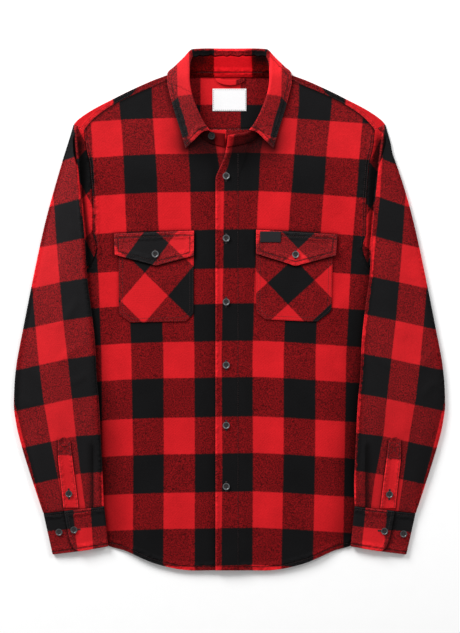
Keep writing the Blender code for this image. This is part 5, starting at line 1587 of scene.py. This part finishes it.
def sewn_lines():
    """The lines that show on each piece, in plan, each with the piece on its left.

    By node: the lines that draw the cloth in, those that only press a furrow into it, the edges that are painted
    pale, partly as wear and partly as a painted highlight, and the lines of single stitches.
    """
    lines = {}
    armhole = armhole_points(ARMHOLE)
    shoulder = [(sx, sy) for _, _, sx, sy in SHOULDER]
    hem = [(x, y) for x, y in HEM if x < 25.0]
    for name, side in (("right", -1.0), ("left", 1.0)):
        def placed(line, side=side):
            points = [(-side * px, py) for px, py in line]
            return points if side < 0.0 else points[::-1]
        in_arm, in_hem = moved_in(armhole[1:], 3.4), moved_in(hem, 5.4)
        stitched = [placed(moved_in(armhole[1:-2], by)) for by in (1.4, 4.8)]
        stitched.append(placed([p for p in in_hem if -190.0 < p[0] < -22.0 * -side]))
        across, rims = [], [placed(hem)]
        if side > 0.0:
            across = [[(13.1, 250.0), (13.1, -401.0)]]
            rims.append([(BAND_EDGE_X, -401.0)] + [(x, y) for y, x in BAND_EDGE])
            stitched.append([(13.1, -394.0), (13.1, 240.0)])
        ring, flap = ((POCKET_RIGHT, FLAP_RIGHT) if side < 0.0 else (POCKET_LEFT, FLAP_LEFT))
        ring, flap = list(ring) + [ring[0]], list(flap) + [flap[0]]
        lines["front_" + name] = ([placed(in_arm), placed(in_hem)],
                                  across + [ring[::-1], flap[::-1], placed(shoulder)],
                                  rims, stitched)

        ridge = inner_edge(name)
        outer = [(x, y) for y, x in SLEEVE_OUTER]
        pleat = [(PLEAT_X + 0.5, -304.0), (PLEAT_X, PLEAT_TOP_Y + 8.0)]
        strip = [(m - half, y) for m, y, half in GAUNTLET[1:]][::-1]
        strip += [(m + half, y) for m, y, half in GAUNTLET[1:]]
        lines["sleeve_" + name] = ([placed(armhole[:-2])], [placed(pleat), placed(strip)],
                                   [placed(ridge), placed(outer)], [])

        lines["pocket_" + name] = ([], [flap[1:4][::-1]], [],
                                   [moved_in(ring, 1.4, True)[:-1], moved_in(ring, 6.0, True)[:-1]])
        low_line = [(flap[-2][0] + 2.0, flap[-2][1] - 7.6), (flap[0][0] - 2.0, flap[0][1] - 7.6)]
        lines["flap_" + name] = ([moved_in(flap, 5.8, True)], [low_line[::-1]], [flap],
                                 [moved_in(flap, 1.4, True), moved_in(flap, 6.2, True), low_line])

        top_edge = list(CUFF_TOP)[::-1]
        foot_edge = [(x, y - 0.3) for x, y in CUFF_FOOT]
        lap = []
        for share, end in CUFF_ROWS:
            at_top = np.array(mix(CUFF_TOP[0], CUFF_TOP[1], end))
            at_foot = np.array(mix(CUFF_FOOT[0], CUFF_FOOT[1], end))
            lap.append(tuple(at_top * (1 - share) + at_foot * share))
        drawn = [placed(moved_in(top_edge, 4.2)), placed(moved_in(foot_edge, 4.2))]
        lap_in = [(x + 4.6, y + 0.8) for x, y in lap]
        lines["cuff_" + name] = (drawn, [placed(lap)],
                                 [placed(foot_edge), placed(lap), placed(top_edge)],
                                 drawn + [placed(lap_in)])

        strip = {way: [(m + way * (half - 2.2), y) for m, y, half in GAUNTLET[1:]] for way in (-1, 1)}
        edges = {way: [(m + way * half, y) for m, y, half in GAUNTLET[1:]] for way in (-1, 1)}
        high, low = GAUNTLET[1][1] - 3.0, GAUNTLET_ROW[name] + 2.0
        box = [[(-262.0, high), (-244.0, high)], [(-262.6, low), (-241.2, low)],
               [(-262.0, high), (-241.2, low)], [(-244.0, high), (-262.6, low)]]
        lines["gauntlet_" + name] = ([placed(b) for b in box], [],
                                     [placed(edges[-1]), placed(edges[1])],
                                     [placed(strip[-1]), placed(strip[1])] + [placed(b) for b in box])

    def both(line):
        return [line, [(-x, y) for x, y in line][::-1]]
    strip = [moved_in(shoulder, by) for by in (1.6, 5.6)]
    seam_low = [(-68.0, YOKE_SEAM_Y + 2.0), (68.0, YOKE_SEAM_Y + 2.0)]
    lines["yoke"] = (both(strip[1]), [seam_low], both(shoulder),
                     both(strip[0]) + both(strip[1]) + [seam_low])
    fall = np.array(fall_grid())
    half = len(FALL)
    edge = [tuple(p) for p in fall[:half, -1, :2][7::-1]]
    front = [tuple(p) for p in fall[0, ::-1, :2]][1:]
    leaf = edge + front
    inner = moved_in(leaf, 5.6)
    roll = [(-58.0, 399.6), (-34.0, 401.0), (34.0, 401.0), (58.0, 399.6)]
    lines["collar_fall"] = (both(inner), [], both(leaf) + [roll],
                            both(moved_in(leaf, 1.5)) + both(moved_in(leaf, 6.2)))
    back_y = STAND[-1][1] + 7.5
    lines["collar_stand"] = ([[(-58.0, back_y), (58.0, back_y)]], [],
                             [[row[2:4] for row in STAND[2:7]], [STAND_LEFT_END[2:4]] + [(-row[2], row[3]) for row in STAND[1:7]]],
                             [[(-52.0, back_y), (52.0, back_y)]])
    left, low, right, top = LABEL
    border = [(left + 1.6, low + 1.6), (right - 1.6, low + 1.6), (right - 1.6, top - 1.6),
              (left + 1.6, top - 1.6), (left + 1.6, low + 1.6)]
    lines["neck_label"] = ([], [], [], [border])
    return lines


SEWN = sewn_lines()


class SHIRT_OT_stage(bpy.types.Operator):
    """Lay out the floor, the soft lights and the camera straight above"""
    bl_idname = "shirt.stage"
    bl_label = "Floor, light and camera"

    def execute(self, context):
        bpy.ops.object.select_all(action="DESELECT")
        bpy.ops.mesh.primitive_plane_add(size=8.0, location=(0.0, 0.0, -0.0002))
        floor = context.object
        floor.name = "floor"
        bpy.ops.object.transform_apply(location=True)
        floor.data.materials.append(matt_board())

        for name, place, aim, size, power in LIGHTS:
            turn = (Vector(place) - Vector(aim)).to_track_quat("Z", "Y")
            bpy.ops.object.light_add(type="AREA", location=place, rotation=turn.to_euler())
            light = context.object
            light.name = name
            light.data.shape = "DISK"
            light.data.size = size
            light.data.energy = power
        world = bpy.data.worlds.new("studio")
        world.use_nodes = True
        world.node_tree.nodes["Background"].inputs["Color"].default_value = (1.0, 1.0, 1.0, 1.0)
        world.node_tree.nodes["Background"].inputs["Strength"].default_value = WORLD_LIGHT
        context.scene.world = world
        context.scene.view_settings.view_transform = "Standard"

        bpy.ops.object.camera_add(location=(0.0008, -0.0108, 3.0), rotation=(0.0, 0.0, 0.0))
        camera = context.object
        camera.data.lens = 110.7
        camera.data.sensor_width = 36.0
        context.scene.camera = camera
        return {"FINISHED"}


class SHIRT_OT_back(bpy.types.Operator):
    """Cut the back and lay it flat"""
    bl_idname = "shirt.back"
    bl_label = "Back"

    def execute(self, context):
        edge = [(BACK_ARMHOLE[0][1], YOKE_SEAM_Y)] + armhole_points(BACK_ARMHOLE)[1:]
        grid = []
        across = np.linspace(-1.0, 1.0, 23)
        for x, y in edge:
            grid.append([(x * abs(share) * math.copysign(1.0, -share) if share else 0.0, y,
                          CLOTH / 2) for share in across])
        for down in (0.15, 0.35, 0.55, 0.75, 0.9, 1.0):
            row = []
            for share in across:
                x = SIDE_X * -share
                foot = float(read(HEM, -abs(x)))
                row.append((x, ARMPIT_Y + (foot - ARMPIT_Y) * down, CLOTH / 2))
            grid.append(row)
        grid, _ = refine(grid, 1, 2.2 * net_mm())
        grid, _ = refine(grid, 0, 2.2 * net_mm())
        x, y = grid[..., 0], grid[..., 1]
        # The back is cut straight on the grain, so its columns don't lean
        u = -body_threads(x, np.full(x.shape, BACK_GRAIN_Y))[0]
        v = body_threads(x, y)[2]
        thick = tapered(np.full(x.shape, CLOTH))
        cloth("back", grid, thick, stack(u, v))
        return {"FINISHED"}


class SHIRT_OT_yoke(bpy.types.Operator):
    """Lay the yoke at the back of the neck and fold it over the shoulders"""
    bl_idname = "shirt.yoke"
    bl_label = "Yoke"

    def execute(self, context):
        grid, places = refine(yoke_grid(), 1, net_mm())
        grid, _ = refine(grid, 0, net_mm())
        x, y = grid[..., 0], grid[..., 1]
        warp, weft = periods()
        u = stretch(y, YOKE_WARP, 0, warp)
        v = stretch(x, YOKE_ROWS, 0, weft)
        # The strip on the front is the same cloth turned over the shoulder
        column = np.arange(grid.shape[1])
        share = np.clip((column - places[5]) / (places[7] - places[5]), 0.0, 1.0)[None, :]
        fold, foot = STRIP_CHANGES
        near, far = (fold[i] + (foot[i] - fold[i]) * share for i in (0, 1))
        side = -np.abs(x)
        first, last = np.broadcast_to(near, side.shape), np.broadcast_to(far, side.shape)
        strip_u = stretch(side, np.stack((first, first + 90.0), -1), 1, warp)
        strip_v = stretch(side, np.stack((first - 90.0, first, last, last + 90.0), -1), 0, weft)
        on_strip = (column >= places[5])[None, :]
        u = np.where(on_strip, strip_u, u)
        v = np.where(on_strip, strip_v, v)
        thick = tapered(np.full(x.shape, CLOTH), rows=False)
        # Painted shade on the strip that lies on the front
        deep = on_strip * np.where(x < 0.0, 0.06, 0.12)
        cloth("yoke", grid, thick, stack(u, v), 0.0, deep)
        return {"FINISHED"}


class SHIRT_OT_fronts(bpy.types.Operator):
    """Lay the right front, then the left one with its buttonhole band over it"""
    bl_idname = "shirt.fronts"
    bl_label = "Fronts"

    def execute(self, context):
        depth = context.scene.shirt_sizes.crease
        left_edge = tuple((y, -x) for y, x in BAND_EDGE)
        for name, sign, table, edge_x, band in (
                ("front_right", -1.0, UNDER_EDGE, UNDER_EDGE_X, False),
                ("front_left", 1.0, left_edge, -BAND_EDGE_X, True)):
            grid, _ = refine(front_grid(sign, table, edge_x, band), 1, net_mm())
            grid, _ = refine(grid, 0, net_mm())
            x, y, wall = grid[..., 0], grid[..., 1], grid[..., 3]
            z = front_height(x, y, band) + depth * front_creases(x, y) + wall / 2
            right, left, v = body_threads(x, y)
            u = left if band else right
            points = np.stack((x, y, z), -1)
            # The upper chest is painted paler, as wear and as painted light, and the fronts carry painted shade
            cloth(name, points, tapered(wall), stack(u, v),
                  CHEST_WORN_AND_LIT * ease(210.0, 262.0, y), front_painted_shade(x, y, name))
        return {"FINISHED"}


class SHIRT_OT_sleeves(bpy.types.Operator):
    """Lay a sleeve on each side, folded back beside the armhole"""
    bl_idname = "shirt.sleeves"
    bl_label = "Sleeves"

    def execute(self, context):
        depth = context.scene.shirt_sizes.crease
        sections = [sleeve_section(number, height) for number, height in enumerate(SLEEVE_TOPS)]
        grid, places = refine(sections, 1, 1.05 * net_mm())
        grid, _ = refine(grid, 0, 1.05 * net_mm())
        y, top = grid[..., 1], grid[..., 3]
        plain_y = np.nan_to_num(y)
        steps = np.linalg.norm(np.diff(grid[..., :3], axis=1), axis=-1)
        run = np.concatenate((np.zeros((len(grid), 1)), np.cumsum(np.nan_to_num(steps), axis=1)), 1)
        ridge, outer, valley = places[RIDGE_COLUMN], places[OUTER_COLUMN], places[VALLEY_COLUMN]
        column = np.arange(grid.shape[1])[None, :]
        from_fold = np.abs(run - run[:, ridge:ridge + 1])
        by_fold = 1.0 - np.where(column > ridge, ease(0.0, 45.0, from_fold),
                                 ease(4.0, 16.0, from_fold))
        thick = tapered(np.full(top.shape, CLOTH))
        for name, sign in (("right", -1.0), ("left", 1.0)):
            reach = read(LEFT_REACH, plain_y) if name == "left" else 0.0
            x = grid[..., 0] + reach * by_fold
            plain_x = np.nan_to_num(x)
            u, v = sleeve_threads(x, y, name)
            for edge, way in ((ridge, 1.0), (outer, -1.0)):
                past = column < edge if edge == ridge else column > edge
                gone = np.abs(run - run[:, edge:edge + 1])
                u = np.where(past, u[:, edge:edge + 1] + way * gone, u)
                v = np.where(past, v[:, edge:edge + 1] + (y[:, edge:edge + 1] - y), v)
            strip_u, strip_v = bias_threads(plain_x, plain_y, *BIAS["strip_" + name])
            u = np.where(column <= valley, strip_u, u)
            v = np.where(column <= valley, strip_v, v)
            z = grid[..., 2] + depth * top * sleeve_creases(plain_x, plain_y, name)
            points = flipped(np.stack((x, y, z), -1), sign)
            # The sleeves are painted paler as wear and as painted light, most at the top of the sleeve at -X;
            # the fold and the top carry painted shade
            at_top, at_cuff = SLEEVE_WORN_AND_LIT[name]
            worn = at_cuff + (at_top - at_cuff) * ease(-150.0, 240.0, plain_y)
            cloth("sleeve_" + name, points, thick, stack(u, v),
                  worn * np.maximum(top, 0.0),
                  np.where(column < ridge, valley_painted_shade(plain_x, plain_y, name),
                           top * sleeve_painted_shade(plain_x, plain_y, name)))
        return {"FINISHED"}


class SHIRT_OT_cuffs(bpy.types.Operator):
    """Button a cuff round each wrist and lay the placket above it"""
    bl_idname = "shirt.cuffs"
    bl_label = "Cuffs and plackets"

    def execute(self, context):
        warp = periods()[0]
        for name, sign in (("right", -1.0), ("left", 1.0)):
            rows = []
            for middle, y, half in GAUNTLET:
                rows.append([(middle + half * share, y, 0.0) for share in (-1, -0.5, 0, 0.5, 1)])
            plan, _ = refine(rows, 1, 2.0)
            plan, _ = refine(plan, 0, 2.0)
            grid = laid(flipped(plan, sign), height_reader(found("sleeve_" + name)), LAID, CLOTH)
            x, y = plan[..., 0], plan[..., 1]
            middles = np.interp(y, *np.array([(g[1], g[0]) for g in reversed(GAUNTLET)]).T)
            u = 22.0 + (x - middles)
            v = 0.7 * (GAUNTLET_ROW[name] - y)
            cloth("gauntlet_" + name, grid, tapered(np.full(x.shape, CLOTH)), stack(u, v),
                  0.2)

            grid, places = refine(cuff_grid(), 1, 2.5)
            grid, _ = refine(grid, 0, 2.5)
            x, y = grid[..., 0], grid[..., 1]
            tops, feet, (row_a, row_b) = CUFF_CHECK[name]
            share = np.clip((CUFF_TOP[0][1] - y) / (CUFF_TOP[0][1] - CUFF_FOOT[0][1]), 0.0, 1.0)
            edges = np.stack([a + (b - a) * share for a, b in zip(tops, feet)], -1)
            u = stretch(x, edges, -1, warp)
            edge_y = row_a[1] + (x - row_a[0]) * (row_b[1] - row_a[1]) / (row_b[0] - row_a[0])
            v = edge_y - y
            lap = [tuple(point) for point in grid[:, -1, :2]]
            under = (np.arange(grid.shape[1]) <= places[5])[None, :]
            # Painted shade beside the lap, on the layer under it
            deep = np.where(under, 0.75 * np.exp(-(away_from(x, y, lap)[0] / 3.6) ** 2), 0.0)
            cloth("cuff_" + name, flipped(grid, sign),
                  tapered(np.full(x.shape, CUFF_CLOTH)), stack(u, v),
                  0.25, deep)
        return {"FINISHED"}


class SHIRT_OT_collar(bpy.types.Operator):
    """Stand the collar round the neck and turn its fall down"""
    bl_idname = "shirt.collar"
    bl_label = "Collar"

    def execute(self, context):
        warp, weft = periods()
        carriers = height_reader(found("yoke", "front_right", "front_left"))
        grid, _ = refine(stand_grid(carriers), 1, 2.5)
        grid, _ = refine(grid, 0, 2.5)
        x, y = grid[..., 0], grid[..., 1]
        middle = grid[:, grid.shape[1] // 2]
        steps = np.linalg.norm(np.diff(middle, axis=0), axis=-1)
        run = np.concatenate(([0.0], np.cumsum(steps)))
        centre = int(np.argmin(np.abs(middle[:, 0]) + 1000.0 * (middle[:, 1] < 330.0)))
        v = stretch(run - run[centre], (COLLAR_ROWS[0], COLLAR_ROWS[1]), 0, weft)[:, None] + 0 * x
        u = np.linspace(6.0, 38.0, grid.shape[1])[None, :] + 0 * x
        right_u, left_u, front_v = body_threads(x, y)
        at_front = y < 300.0
        wearer_left = np.arange(len(grid))[:, None] > centre
        u = np.where(at_front, np.where(wearer_left, left_u, right_u), u)
        v = np.where(at_front, front_v, v)
        at_seam = np.linspace(0.0, 1.0, grid.shape[1])[None, :] ** 2
        grid[..., 1] += gathered(x, y) * at_seam
        # Painted shade: the stand's ends at the front lie in the collar's shade, and its back inside the neck is
        # painted darker
        by_end = np.exp(-((x - grid[-1:, :, 0]) / 5.0) ** 2)
        left_deep = (0.9 + 0.12 * ease(18.0, 30.0, x) - 0.7 * at_seam) * (1.0 - 0.8 * by_end)
        right_deep = 0.98 - 0.17 * np.exp(-((x + 15.0) / 8.0) ** 2)
        at_back = ease(26.0, 44.0, np.abs(x)) * ease(335.0, 350.0, y)
        at_back = at_back * (0.2 + np.where(x < 0.0, 0.5, 0.72) * ease(370.0, 386.0, y))
        cloth("collar_stand", grid, tapered(np.full(x.shape, STAND_CLOTH)), stack(u, v),
              -0.75 * ease(296.0, 330.0, y),
              at_back + (1.0 - ease(266.0, 306.0, y)) * np.where(wearer_left, left_deep,
                                                                 right_deep))

        grid, places = refine(fall_grid(), 1, 2.2)
        grid, _ = refine(grid, 0, 2.2)
        x, y = grid[..., 0], grid[..., 1]
        steps = np.linalg.norm(np.diff(grid, axis=1), axis=-1)
        run = np.concatenate((np.zeros((len(grid), 1)), np.cumsum(steps, axis=1)), 1)
        beyond = run - run[:, places[1]:places[1] + 1]
        right = collar_threads(x, y, beyond, -COLLAR_ROWS[0], COLLAR_ROWS[1])
        left = collar_threads(-x, y, beyond, COLLAR_ROWS[1], -COLLAR_ROWS[0])
        u, v = (np.where(x < 0.0, a, b) for a, b in zip(right, left))
        from_seam = 1.0 - ease(0.0, 9.0, run)
        grid[..., 1] += gathered(x, y) * from_seam
        # The fall is painted paler at -X as wear and painted light; painted light on the leaf at +X and along
        # the middle of the roll; painted shade at the leaf tips
        worn = np.where(x < 0.0, 0.8, 0.6) * (1.0 - ease(380.0, 395.0, y))
        painted_light = LEAF_LIT * ease(20.0, 60.0, x) * (1.0 - ease(376.0, 392.0, y))
        from_tip = np.hypot(np.abs(x) + FALL[0][3][0], y - FALL[0][3][1])
        painted_light = painted_light * ease(10.0, 30.0, from_tip) - 0.75 * (1.0 - ease(11.0, 19.0, from_tip))
        painted_light += 1.1 * (1.0 - ease(18.0, 30.0, np.abs(x))) * ease(386.0, 391.0, y) * (
            1.0 - ease(398.0, 400.5, y))
        cloth("collar_fall", grid, tapered(np.full(x.shape, FALL_CLOTH)), stack(u, v),
              worn, -painted_light)
        return {"FINISHED"}


class SHIRT_OT_pockets(bpy.types.Operator):
    """Sew a pocket on each front and lay its flap over it"""
    bl_idname = "shirt.pockets"
    bl_label = "Pockets and flaps"

    def execute(self, context):
        for name, corners, flap_corners in (("right", POCKET_RIGHT, FLAP_RIGHT),
                                            ("left", POCKET_LEFT, FLAP_LEFT)):
            height_at = height_reader(found("front_" + name))
            top_left, low_left, foot_left, foot_right, low_right, top_right = corners
            ends = [(mix(top_left, low_left, share), mix(top_right, low_right, share))
                    for share in (0.0, 0.25, 0.5, 0.75, 1.0)]
            ends.append((foot_left, foot_right))
            rows = [[(*mix(a, b, share), POCKET_PUFF * math.sin(math.pi * share) ** 0.7 * puff)
                     for share in np.linspace(0.0, 1.0, 9)]
                    for (a, b), puff in zip(ends, (1.0, 1.0, 0.9, 0.7, 0.4, 0.0))]
            plan, _ = refine(rows, 1, 2.4)
            plan, _ = refine(plan, 0, 2.4)
            grid = laid(plan, height_at, LAID, CLOTH)
            x, y = grid[..., 0], grid[..., 1]
            # Painted shadow of the flap on the pocket below the flap's lower edge
            cloth("pocket_" + name, grid, tapered(np.full(x.shape, CLOTH)),
                  stack(*bias_threads(x, y, *BIAS["pocket_" + name])),
                  0.1,
                  0.75 * np.exp(-(away_from(x, y, flap_corners[1:4])[0] / 3.4) ** 2))

            top_left, low_left, tip, low_right, top_right = flap_corners
            rows = []
            for down, lift in zip((0.0, 0.33, 0.67, 1.0), FLAP_LIFT):
                row = []
                for share in np.linspace(0.0, 1.0, 13):
                    foot = (mix(low_left, tip, share * 2) if share < 0.5
                            else mix(tip, low_right, share * 2 - 1))
                    row.append((*mix(mix(top_left, top_right, share), foot, down),
                                lift + 0.5 * math.sin(math.pi * share) * (0.2 + 0.8 * down)))
                rows.append(row)
            plan, _ = refine(rows, 1, 2.2)
            plan, _ = refine(plan, 0, 2.2)
            grid = laid(plan, height_at, LAID + CLOTH + LAID, CLOTH)
            x, y = grid[..., 0], grid[..., 1]
            cloth("flap_" + name, grid, tapered(np.full(x.shape, CLOTH)),
                  stack(*bias_threads(x, y, *BIAS["flap_" + name])),
                  0.45)
        return {"FINISHED"}


class SHIRT_OT_trims(bpy.types.Operator):
    """Sew in the bare neck label, the bare pocket tag and the hanger loop"""
    bl_idname = "shirt.trims"
    bl_label = "Label, tag and loop"

    def execute(self, context):
        for name, (left, low, right, top), slot_name, carrier in (
                ("neck_label", LABEL, "label_satin", "yoke"),
                ("pocket_tag", TAG, "tag_cloth", "flap_left")):
            rows = [[(x, y, 0.0) for x in np.linspace(left, right, 5)]
                    for y in np.linspace(top, low, 4)]
            plan, _ = refine(rows, 1, 1.5)
            plan, _ = refine(plan, 0, 1.5)
            clear = GAP if name == "neck_label" else LAID
            grid = laid(plan, height_reader(found(carrier)), clear, TRIM_CLOTH)
            cloth(name, grid, tapered(np.full(grid.shape[:2], TRIM_CLOTH)),
                  grid[..., :2].copy(), slot_name=slot_name)
        left, right = LOOP_ENDS
        middle, half = (left + right) / 2, (right - left) / 2
        rows = []
        for angle in np.linspace(math.pi, 2 * math.pi, 11):
            lifted = CLOTH + GAP + CLOTH / 2 - LOOP_RISE * math.sin(angle)
            rows.append([(middle + (half - inset) * math.cos(angle),
                          LOOP_TOP_Y + (LOOP_DROP - inset) * math.sin(angle), lifted)
                         for inset in (0.0, LOOP_WIDTH / 2, LOOP_WIDTH)])
        grid, _ = refine(rows, 1, 1.5)
        grid, _ = refine(grid, 0, 1.5)
        warp, weft = periods()
        x, y = grid[..., 0], grid[..., 1]
        v = thread_place(1, weft) + x - LOOP_EDGE
        cloth("hanger_loop", grid, tapered(np.full(x.shape, CLOTH)), stack(20.0 + 0 * x, v))
        return {"FINISHED"}


class SHIRT_OT_buttons(bpy.types.Operator):
    """Turn one button with four holes, then sew a copy on at each place"""
    bl_idname = "shirt.buttons"
    bl_label = "Buttons"

    def execute(self, context):
        sizes = context.scene.shirt_sizes
        width, height = sizes.button_width, sizes.button_height
        bpy.ops.object.select_all(action="DESELECT")
        bpy.ops.mesh.primitive_cylinder_add(vertices=32, radius=width / 2, depth=height,
                                            location=(0.0, 0.0, height / 2))
        blank = context.object
        bpy.ops.object.transform_apply(location=True)
        bpy.ops.object.mode_set(mode="EDIT")
        bpy.ops.mesh.select_mode(type="FACE")
        select_level(blank, top=True)
        bpy.ops.mesh.inset(thickness=0.1 * width)
        bpy.ops.mesh.inset(thickness=0.09 * width)
        bpy.ops.transform.translate(value=(0.0, 0.0, -0.42 * height))
        bpy.ops.mesh.inset(thickness=0.12 * width)
        bpy.ops.transform.translate(value=(0.0, 0.0, -0.04 * height))
        select_level(blank, top=False)
        bpy.ops.transform.resize(value=(0.82, 0.82, 1.0))
        bpy.ops.object.mode_set(mode="OBJECT")
        rounded = blank.modifiers.new("rounded", "BEVEL")
        rounded.width = 0.09 * height * 2
        rounded.segments = 3
        rounded.limit_method = "ANGLE"
        rounded.angle_limit = math.radians(25)
        bpy.ops.object.modifier_apply(modifier="rounded")
        drills = []
        for x, y in HOLES:
            bpy.ops.object.select_all(action="DESELECT")
            bpy.ops.mesh.primitive_cylinder_add(
                vertices=12, radius=0.07 * width, depth=3 * height, location=(x * width, y * width, 0.0))
            bpy.ops.object.transform_apply(location=True)
            drills.append(context.object)
        for drill in drills:
            drill.select_set(True)
        bpy.ops.object.join()
        drill = context.object
        bored = blank.modifiers.new("bored", "BOOLEAN")
        bored.object = drill
        bored.solver = "EXACT"
        context.view_layer.objects.active = blank
        bpy.ops.object.modifier_apply(modifier="bored")
        bpy.data.objects.remove(drill, do_unlink=True)
        bpy.ops.object.select_all(action="DESELECT")
        blank.select_set(True)
        bpy.ops.object.shade_smooth_by_angle(angle=math.radians(35))
        rim = blank.data.attributes.new("rim", "FLOAT", "POINT")
        for number, vertex in enumerate(blank.data.vertices):
            out = math.hypot(vertex.co.x, vertex.co.y) / width
            on_rim = vertex.co.z > 0.55 * height and 0.37 < out < 0.485
            rim.data[number].value = 1.0 if on_rim else 0.0

        carriers = [o for o in bpy.data.objects if o.name in {"cloth_" + n for n in BUTTON_CARRIERS}]
        height_at = height_reader(carriers)
        threads = []
        for node, x, y in BUTTONS:
            tilt_x, tilt_y, base = rest_plane(x, y, height_at, width / MM / 2)
            made = bpy.data.objects.new("sewn_" + node, blank.data.copy())
            context.collection.objects.link(made)
            count = len(made.data.vertices)
            points = np.empty(count * 3)
            made.data.vertices.foreach_get("co", points)
            points = points.reshape(-1, 3)
            made.data.vertices.foreach_set("co", seated(points, x, y, tilt_x, tilt_y, base).ravel())
            made.data.update()
            # Painted light and shade: the rim kept less pale on buttons in shade, and those painted darker
            deep = made.data.attributes.new("deep", "FLOAT", "POINT")
            for value, depth in zip(made.data.attributes["rim"].data, deep.data):
                value.value *= RIM_PAINTED_LIGHT.get(node, 1.0)
                depth.value = BUTTON_PAINTED_SHADE.get(node, 0.0)
            hand_over(made, "button", node)
            for sign in (-1.0, 1.0):
                bar = capsule(0.36 * width / MM, 0.8)
                bar[:, 1] += sign * HOLES[0][1] * width / MM
                bar[:, 2] += 0.62 * height / MM
                threads.append(seated(bar * MM, x, y, tilt_x, tilt_y, base) / MM)
        bpy.data.objects.remove(blank, do_unlink=True)
        hand_over(capsules("button_threads", threads), "thread")
        return {"FINISHED"}


class SHIRT_OT_stitches(bpy.types.Operator):
    """Sew the visible seams: rows of single stitches, and a worked hole for each button"""
    bl_idname = "shirt.stitches"
    bl_label = "Stitching"

    def execute(self, context):
        sizes = context.scene.shirt_sizes
        pitch, long, wide = (v / MM for v in (sizes.stitch_pitch, sizes.stitch_length,
                                              sizes.stitch_width))
        for node, lines in SEWN.items():
            height_at = height_reader(found(node))
            made = []
            for line in lines[3]:
                for start, end in stitches_along(line, pitch, long):
                    a = Vector((*start, height_at(*start)))
                    b = Vector((*end, height_at(*end)))
                    if abs(b.z - a.z) > 0.8 * long or min(a.z, b.z) < 0.5:
                        continue
                    bar = capsule((b - a).length, wide)
                    turn = (b - a).to_track_quat("X", "Z").to_matrix()
                    middle = np.array((a + b) / 2) + np.array((0.0, 0.0, 0.04))
                    made.append(bar @ np.array(turn).T + middle)
            if made:
                hand_over(capsules("stitches_" + node, made), "thread")

        height_at = height_reader(found(*BUTTON_CARRIERS))
        rings = []
        for x, y, angle, reach in BUTTONHOLES:
            turn = math.radians(angle)
            for place in np.arange(-reach / 2, reach / 2 + 0.01, 0.62):
                for side in (-1.0, 1.0):
                    px = x + place * math.cos(turn) - side * 0.75 * math.sin(turn)
                    py = y + place * math.sin(turn) + side * 0.75 * math.cos(turn)
                    bar = capsule(1.5, 0.7)
                    cross = turn + math.pi / 2
                    spin = np.array(((math.cos(cross), -math.sin(cross), 0.0),
                                     (math.sin(cross), math.cos(cross), 0.0), (0.0, 0.0, 1.0)))
                    rings.append(bar @ spin.T + np.array((px, py, height_at(px, py) + 0.1)))
        hand_over(capsules("buttonholes", rings), "thread")
        return {"FINISHED"}


class SHIRT_PT_panel(bpy.types.Panel):
    """Lists the settings and the steps in the order in which the shirt is made"""
    bl_idname = "SHIRT_PT_panel"
    bl_label = "Flannel shirt"
    bl_space_type = "VIEW_3D"
    bl_region_type = "UI"
    bl_category = "Shirt"

    def draw(self, context):
        for title, settings in (("Sizes", context.scene.shirt_sizes),
                                ("Colours", context.scene.shirt_colours)):
            box = self.layout.box()
            box.label(text=title)
            for key in settings.bl_rna.properties.keys():
                if key not in ("rna_type", "name"):
                    box.prop(settings, key)
        column = self.layout.column(align=True)
        for step in STEPS:
            column.operator(step.bl_idname)


STEPS = (SHIRT_OT_stage, SHIRT_OT_back, SHIRT_OT_yoke, SHIRT_OT_fronts, SHIRT_OT_sleeves,
         SHIRT_OT_cuffs, SHIRT_OT_collar, SHIRT_OT_pockets, SHIRT_OT_trims, SHIRT_OT_buttons,
         SHIRT_OT_stitches)
CLASSES = (ShirtSizes, ShirtColours, *STEPS, SHIRT_PT_panel)


def register():
    """Registers the classes and keeps their settings on the scene."""
    for kind in CLASSES:
        bpy.utils.register_class(kind)
    bpy.types.Scene.shirt_sizes = bpy.props.PointerProperty(type=ShirtSizes)
    bpy.types.Scene.shirt_colours = bpy.props.PointerProperty(type=ShirtColours)


def unregister():
    """Takes them out again."""
    del bpy.types.Scene.shirt_colours
    del bpy.types.Scene.shirt_sizes
    for kind in reversed(CLASSES):
        bpy.utils.unregister_class(kind)


def main():
    """Makes the shirt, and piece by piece."""
    register()
    bpy.ops.shirt.stage()
    bpy.ops.shirt.back()
    bpy.ops.shirt.yoke()
    bpy.ops.shirt.fronts()
    bpy.ops.shirt.sleeves()
    bpy.ops.shirt.cuffs()
    bpy.ops.shirt.collar()
    bpy.ops.shirt.pockets()
    bpy.ops.shirt.trims()
    bpy.ops.shirt.buttons()
    bpy.ops.shirt.stitches()


if __name__ == "__main__":
    main()
